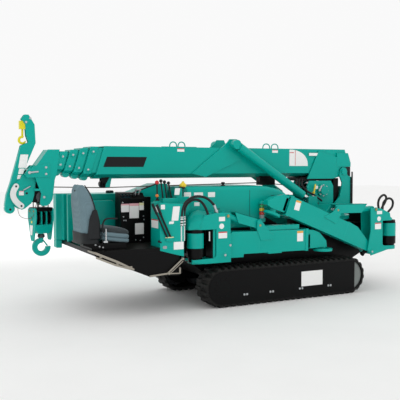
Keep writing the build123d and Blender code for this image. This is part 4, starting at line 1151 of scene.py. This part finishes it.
def labels():
    """Blank vinyl plates with rounded corners; a warning plate keeps its plain coloured band."""
    hood_y, cab_y, con_y, boom_y = -370.2, -604.2, -100.2, -134.8
    plates("plates_hood", [(-1124, -1046, 1061, 1150, hood_y), (-1012, -910, 1092, 1146, hood_y),
                           (-852, -771, 1096, 1146, hood_y), (-1010, -950, 1010, 1046, hood_y)], "chassis")
    plates("plates_cabinet", [(-1482, -1440, 1004, 1048, cab_y), (-1372, -1300, 892, 1028, cab_y, 18),
                              (-1400, -1352, 862, 886, cab_y, 8), (-1349, -1243, 614, 688, cab_y)], "chassis")
    plates("plate_cabinet_oval", [(-1462, -1420, 628, 656, cab_y)], "chassis", "grey_plastic", 12)
    x = -1490.2
    rear = [slab([(x, y0, z0), (x, y1, z0), (x, y1, z1), (x, y0, z1)], (-1, 0, 0), 1.2, 5)
            for y0, y1, z0, z1 in ((-590, -500, 975, 1026), (-560, -400, 819, 902))]
    piece("plates_cabinet_rear", rear, "chassis", "white_vinyl")
    band = [slab([(-1491.5, -560, 892), (-1491.5, -400, 892), (-1491.5, -400, 902), (-1491.5, -560, 902)],
                 (-1, 0, 0), 0.4, 1)]
    piece("plate_band_rear", band, "chassis", "red_plastic")
    plates("plates_console", [(-1690, -1606, 952, 1034, con_y), (-1602, -1500, 888, 1036, con_y),
                              (-1496, -1446, 967, 1040, con_y), (-1542, -1447, 723, 836, con_y)], "chassis")
    rose = [(-1690, -1606, 1020, 1035, con_y - 1.3), (-1602, -1500, 1012, 1037, con_y - 1.3)]
    plates("plate_bands_console", rose, "chassis", "pink_vinyl", 2, thickness=0.4)
    plates("plate_band_console_warm", [(-1496, -1446, 1016, 1041, con_y - 1.3)], "chassis", "cream_film", 2,
           thickness=0.4)
    plates("plates_cover", [(131, 410, 137, 295, -632.2)], "chassis", rounding=3)
    plates("plates_boom", [(-1085, -1005, 1560, 1592, boom_y), (85, 160, 1560, 1592, boom_y),
                           (581, 710, 1530, 1562, boom_y - 14)], "boom_base", rounding=3)
    plates("plate_bands_boom", [(-1085, -1005, 1586, 1593, boom_y - 1.3), (85, 160, 1586, 1593, boom_y - 1.3)],
           "boom_base", "red_plastic", 1, thickness=0.4)
    plates("plate_black_boom", [(-1885, -1463, 1403, 1503, boom_y, 40)], "boom_base", "black_vinyl_film", 2)
    t = np.linspace(0, np.pi / 2, 16)
    arc = [(330 + 245 * math.sin(a), 1413 + 185 * math.cos(a) ** 0.8) for a in t]
    fan = [(318, 1596)] + arc + [(318, 1413)]
    piece("plate_chart", [prism("xz", fan, boom_y - 1.2, boom_y)], "boom_base", "white_vinyl")
    piece("plate_chart_line", [slab(rect_xz(396, 402, 1420, 1590, boom_y - 1.3), NEAR, 0.4, 1),
                               slab(rect_xz(320, 380, 1560, 1568, boom_y - 1.3), NEAR, 0.4, 1)],
          "boom_base", "red_plastic")
    arm_plates = {"arm_front_right": [(58, 955), (123, 937), (154, 1037), (89, 1054)],
                  "arm_rear_right": [(102, 614), (180, 614), (180, 724), (102, 724)]}
    for body, corners in arm_plates.items():
        a, b, c, d = corners = np.array([(x, -590.2, z) for x, z in corners], float)
        top = np.stack([d + (a - d) * 0.2, c + (b - c) * 0.2, c, d]) - (0, 1.4, 0)
        piece("plate_" + body, slab(corners, NEAR, 1.2, 4), body, "white_vinyl")
        piece("plate_band_" + body, slab(top, NEAR, 0.4, 3), body, "orange_vinyl")
    bracket_y = -615.2
    bracket_plates = {
        "rotary_front_right": ([(1187, 1263, 867, 904), (1160, 1251, 697, 769)], (1219, 815)),
        "rotary_rear_right": ([(-861, -792, 868, 911), (-866, -769, 698, 762)], (-830, 818)),
    }
    for body, (rows, disc) in bracket_plates.items():
        rows = [row + (bracket_y,) for row in rows]
        plates("plates_" + body, rows, body, rounding=4)
        piece("plate_disc_" + body, [rod_y(disc[0], disc[1], 27, -616.4, -615, 32)], body, "white_vinyl")
        plates("plate_band_" + body, [(rows[1][0], rows[1][1], rows[1][3] - 10, rows[1][3] + 1, -616.6)], body,
               "red_plastic", 2, thickness=0.4)
    arm = [slab([(x, -30.2, z) for x, z in corners], NEAR, 1.2, rounding) for rounding, corners in (
        (5, [(-2678, 1395), (-2602, 1395), (-2582, 1520), (-2655, 1520)]),
        (4, [(-2680, 1338), (-2634, 1338), (-2618, 1389), (-2668, 1389)]),
        (4, [(-2690, 1291), (-2662, 1291), (-2650, 1329), (-2682, 1329)]))]
    piece("plates_searcher", arm, "searcher_arm", "white_vinyl")


# Driver's seat

def rounded_ring(half_a, half_b, power, count):
    """Points of a rounded rectangle: cosine and sine, each raised to a small power."""
    t = np.linspace(0, 2 * np.pi, count, endpoint=False)
    c, s = np.cos(t), np.sin(t)
    return np.stack([half_a * np.sign(c) * np.abs(c) ** power, half_b * np.sign(s) * np.abs(s) ** power], -1)


def pad_form(x0, x1, y0, y1, z0, z1, crown, power=0.32):
    """A pad between two corners: stacked rounded rectangles whose size follows a rounded profile,
    the top row lifted by a crown that is a cosine of the place across."""
    rings = []
    for share in np.linspace(0, 1, 15):
        edge = (1 - abs(2 * share - 1) ** 5) ** 0.4
        size = 0.80 + 0.20 * edge
        ring = rounded_ring((x1 - x0) / 2 * size, (y1 - y0) / 2 * size, power, 64)
        rings.append(np.stack([(x0 + x1) / 2 + ring[:, 0], (y0 + y1) / 2 + ring[:, 1],
                               np.full(64, z0 + share * (z1 - z0))], -1))
    for inset in (0.75, 0.5, 0.25, 0.05):
        ring = rounded_ring((x1 - x0) / 2 * inset, (y1 - y0) / 2 * inset, power, 64)
        lift = crown * math.cos(inset * math.pi / 2)
        rings.append(np.stack([(x0 + x1) / 2 + ring[:, 0], (y0 + y1) / 2 + ring[:, 1],
                               np.full(64, z1 + lift)], -1))
    return skin(rings)


def sloped(shape):
    """A cushion's shape sheared so that its front lies lower than its rear."""
    verts, faces = shape
    return verts - (0, 0, 0.14) * (verts[:, :1] + 1890.0), faces


def swell(made, pressure, cap, voxel=0.006):
    """Swells a pad as cloth under pressure, holds each point within the cap, and smooths it."""
    bpy.context.view_layer.objects.active = made
    remesh = made.modifiers.new("remesh", "REMESH")
    remesh.mode = "VOXEL"
    remesh.voxel_size = voxel
    bpy.ops.object.modifier_apply(modifier="remesh")
    mesh = made.data
    before = np.empty(len(mesh.vertices) * 3, np.float32)
    mesh.vertices.foreach_get("co", before)
    cloth = made.modifiers.new("cloth", "CLOTH")
    cloth.settings.use_pressure = True
    cloth.settings.uniform_pressure_force = pressure
    cloth.settings.effector_weights.gravity = 0.0
    scene = bpy.context.scene
    for step in range(1, 21):
        scene.frame_set(step)
    bpy.ops.object.modifier_apply(modifier="cloth")
    mesh = made.data
    after = np.empty(len(mesh.vertices) * 3, np.float32)
    mesh.vertices.foreach_get("co", after)
    move = (after - before).reshape(-1, 3)
    size = np.linalg.norm(move, axis=1, keepdims=True)
    held = before.reshape(-1, 3) + move * np.minimum(1.0, cap / np.maximum(size, 1e-9))
    mesh.vertices.foreach_set("co", held.astype(np.float32).ravel())
    mesh.polygons.foreach_set("use_smooth", [True] * len(mesh.polygons))
    scene.frame_set(1)


def pad(name, shape, material, cap=0.008, replaces=None):
    """A padded piece, swelled."""
    made = piece(name, shape, "chassis", material, replaces=replaces, sharp=75)
    swell(made, 4.0, cap)
    return made


BACK = np.array([(705, -2200, -2047), (903, -2213, -2056), (1040, -2222, -2083),
                 (1150, -2226, -2117), (1205, -2225, -2146), (1235, -2216, -2164), (1248, -2205, -2176)], float)


def back_ring(z, grow=0.0, count=72):
    """One level of the back: its rear and front from the side's outline, its width drawn in near the top."""
    rear, front = np.interp(z, BACK[:, 0], BACK[:, 1]), np.interp(z, BACK[:, 0], BACK[:, 2])
    t = np.clip((z - 1020) / 235, 0, 1)
    half = 198 * (1 - 0.42 * t ** 2.6) + grow
    ring = rounded_ring((front - rear) / 2 + grow, half, 0.42, count)
    return np.stack([(front + rear) / 2 + ring[:, 0], -317.5 + ring[:, 1], np.full(count, z)], -1)


def seat():
    """A grey back, a dark cushion over two grey bands, black wings, a shell, piping and an armrest."""
    base = [(-2125, 640), (-1790, 640), (-1790, 700), (-2043, 700), (-2043, 705), (-2205, 705), (-2205, 690),
            (-2125, 662)]
    dressed("seat_base", [prism("xz", base, -500, -135)], soften=3)
    levels = np.concatenate([np.linspace(712, 1200, 26), [1215, 1228, 1238, 1244]])
    pad("seat_back_pad", skin([back_ring(z, -6) for z in levels]), "seat_cloth", 0.007, "seat_back")
    pad("seat_cushion_pad", sloped(pad_form(-2036, -1742, -505, -130, 786, 826, 12)), "dark_seat_cloth", 0.008,
        "seat_cushion")
    for name, z0, z1 in (("upper", 750, 790), ("lower", 712, 750)):
        form = sloped(pad_form(-2030, -1746, -518, -118, z0, z1, 0))
        pad("seat_band_" + name, form, "seat_cloth", 0.005)
    side = [(-2052, 740), (-2052, 905), (-2080, 1020), (-2118, 1010), (-2150, 930), (-2168, 790), (-2160, 740)]
    wings = [prism("xz", side, -532, -500), prism("xz", side, -135, -103)]
    piece("seat_back_wings", wings, "chassis", "black_vinyl", soften=14)
    shell = [back_ring(z, 5) for z in (704, 712, 740, 770, 792, 800)]
    piece("seat_shell", [skin(shell)], "chassis", "black_vinyl", sharp=50)
    edge = [back_ring(z, 1)[8] for z in np.linspace(800, 1235, 40)]
    far = [back_ring(z, 1)[-8] for z in np.linspace(800, 1235, 40)]
    piece("seat_piping", [swept(edge, 5.0, 10), swept(far, 5.0, 10)], "chassis", "black_vinyl", sharp=70)
    rest = smooth_path([(-2029, -548, 800), (-2037, -548, 868), (-2020, -548, 916), (-1984, -548, 932),
                        (-1895, -548, 929)], 40)
    piece("armrest", [swept(rest, 7.5, 14)], "chassis", "black_vinyl", sharp=70)
    piece("armrest_post", [rod((-2005, -548, 720), (-2005, -548, 840), 7),
                           box(-2030, -1990, -555, -500, 712, 728)], "chassis", "zinc")
    piece("seat_slot", [box(-2226, -2216, -330, -300, 1168, 1192)], "chassis", "black_plastic", soften=3)


# Working lamp

def lamp():
    """Three coloured lenses one over the other on a grey stem, with a green cap, on a green bracket."""
    x, y = -225.0, -406.0
    tier = [(20, 0), (26, 2), (27, 6), (27, 27), (26, 31), (20, 33)]
    for colour, z in (("red", 897), ("yellow", 935), ("green", 973)):
        piece("lamp_" + colour, turned(tier, (x, y, z), (0, 0, 1), 32), "chassis", colour + "_lens")
    cap = [(20, 0), (29, 1), (29, 14), (27, 20), (18, 27), (8, 31), (1, 32)]
    piece("lamp_cap", turned(cap, (x, y, 1012), (0, 0, 1), 32), "chassis", "green_enamel",
          replaces="stack_lamp")
    piece("lamp_stem", [rod_z(x, y, 15, 860, 1014), rod_z(x, y, 25, 860, 894)], "chassis", "grey_plastic")
    piece("lamp_bracket", [box(x - 30, x + 30, y - 26, -368, 820, 861)], "chassis", "green_enamel", soften=3)


# Hydraulic hoses held at both ends

def hose(name, points, radius, body):
    """A stiff hose between two fittings: a NURBS curve through given points, in metres."""
    data = bpy.data.curves.new(name, "CURVE")
    data.dimensions = "3D"
    data.bevel_depth = radius * MM
    data.bevel_resolution = 5
    data.resolution_u = 16
    spline = data.splines.new("NURBS")
    spline.points.add(len(points) - 1)
    route = place(points)
    spline.points.foreach_set("co", np.concatenate([route, np.ones((len(route), 1))], 1).ravel())
    spline.order_u = 3
    spline.use_endpoint_u = True
    data.materials.append(MATERIALS["hose_rubber"])
    made = bpy.data.objects.new(name, data)
    bpy.context.scene.collection.objects.link(made)
    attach(made, body)


HOSES = {
    "hose_rear_outer": [(-1262, -600, 905), (-1262, -600, 985), (-1225, -600, 1065), (-1140, -600, 1118),
                        (-1040, -598, 1118), (-955, -592, 1085), (-903, -588, 1030)],
    "hose_rear_inner": [(-1225, -575, 905), (-1222, -572, 985), (-1190, -566, 1052), (-1110, -562, 1092),
                        (-1035, -570, 1072), (-978, -582, 985), (-950, -590, 880)],
    "hose_front_low": [(1262, -575, 900), (1232, -576, 965), (1250, -578, 1045), (1315, -580, 1090),
                       (1362, -580, 1060), (1345, -580, 1000), (1290, -578, 935), (1270, -575, 880)],
    "hose_front_high": [(1322, -560, 880), (1318, -562, 960), (1345, -564, 1020), (1420, -566, 1048),
                        (1478, -566, 1010), (1470, -564, 940), (1420, -562, 895), (1380, -560, 862)],
}


def hoses():
    """The arcs over the right-hand brackets, with their sleeves and fittings."""
    for name, points in HOSES.items():
        hose(name, points, 13.0, "chassis" if "rear" in name else "rotary_front_right")
    riser = [rod_z(-1262, -600, 16, 838, 920), rod_z(-1225, -575, 16, 838, 920)]
    piece("hose_sleeves", riser, "chassis", "banded_sleeve", sharp=60)
    pipes = [rod_z(x, y, 8, 690, 840) for x, y in ((-1266, -600), (-1246, -594), (-1225, -580))]
    piece("hose_pipes", pipes, "chassis", "white_pipe")
    ends = [rod((-903, -588, 1030), (-866, -584, 945), 15), rod((-1262, -600, 915), (-1262, -600, 930), 18),
            rod((-1225, -575, 915), (-1225, -575, 930), 18), rod((-880, -586, 975), (-874, -586, 962), 20)]
    piece("hose_fittings", ends, "chassis", "zinc")
    piece("gauge_rod", [rod((-962, -606, 690), (-962, -606, 770), 6), ball((-962, -606, 684), 8)],
          "rotary_rear_right", "white_pipe")


def details():
    """Pins' caps, the seat's bolts, the front stub and the tank's filler."""
    for body, spots in (("rotary_rear_right", [(-792, -622, 529), (-731, -615, 623)]),
                        ("rotary_front_right", [(1118, -622, 445)]),
                        ("rotary_rear_left", [(-792, 622, 529)]), ("rotary_front_left", [(1118, 622, 445)])):
        hand = -1 if "right" in body else 1
        piece("pin_heads_" + body, bolts(spots, (0, hand, 0), 11.0), body, "zinc")
    for body, spot in (("rotary_rear_right", (-760, -622, 917)), ("rotary_front_right", (1168, -622, 922)),
                       ("rotary_rear_left", (-760, 622, 917)), ("rotary_front_left", (1168, 622, 922))):
        hand = -1 if "right" in body else 1
        piece("pin_cap_" + body, bolts([spot], (0, hand, 0), 14.0), body, "brass")
    piece("arm_pin_front", bolts([(645, -592, 930)], NEAR, 14.0), "arm_front_right", "brass")
    piece("arm_pin_rear", bolts([(-367, -592, 805)], NEAR, 14.0), "arm_rear_right", "brass")
    stub = [rod((1075, -560, 452), (1030, -560, 425), 22), rod((1030, -560, 425), (1018, -560, 418), 28)]
    piece("front_stub", stub, "rotary_front_right", "black_enamel")
    feet = [(-2052, -500, 673), (-2090, -500, 690), (-2019, -500, 663)]
    piece("deck_bolts", bolts(feet, NEAR, 7.0), "chassis", "zinc")
    filler = turned([(40, 0), (42, 4), (42, 20), (36, 26), (30, 28)], (-1620, 430, 1124), (0, 0, 1), 32)
    piece("tank_filler", [filler], "chassis", "black_plastic")


camera()
studio()
nodes_finish()
undercarriage()
deck()
hood()
outriggers()
post()
upper_hoses()
boom()
hook_block()
searcher()
controls()
labels()
seat()
lamp()
hoses()
details()

bpy.context.scene.view_settings.view_transform = "Standard"
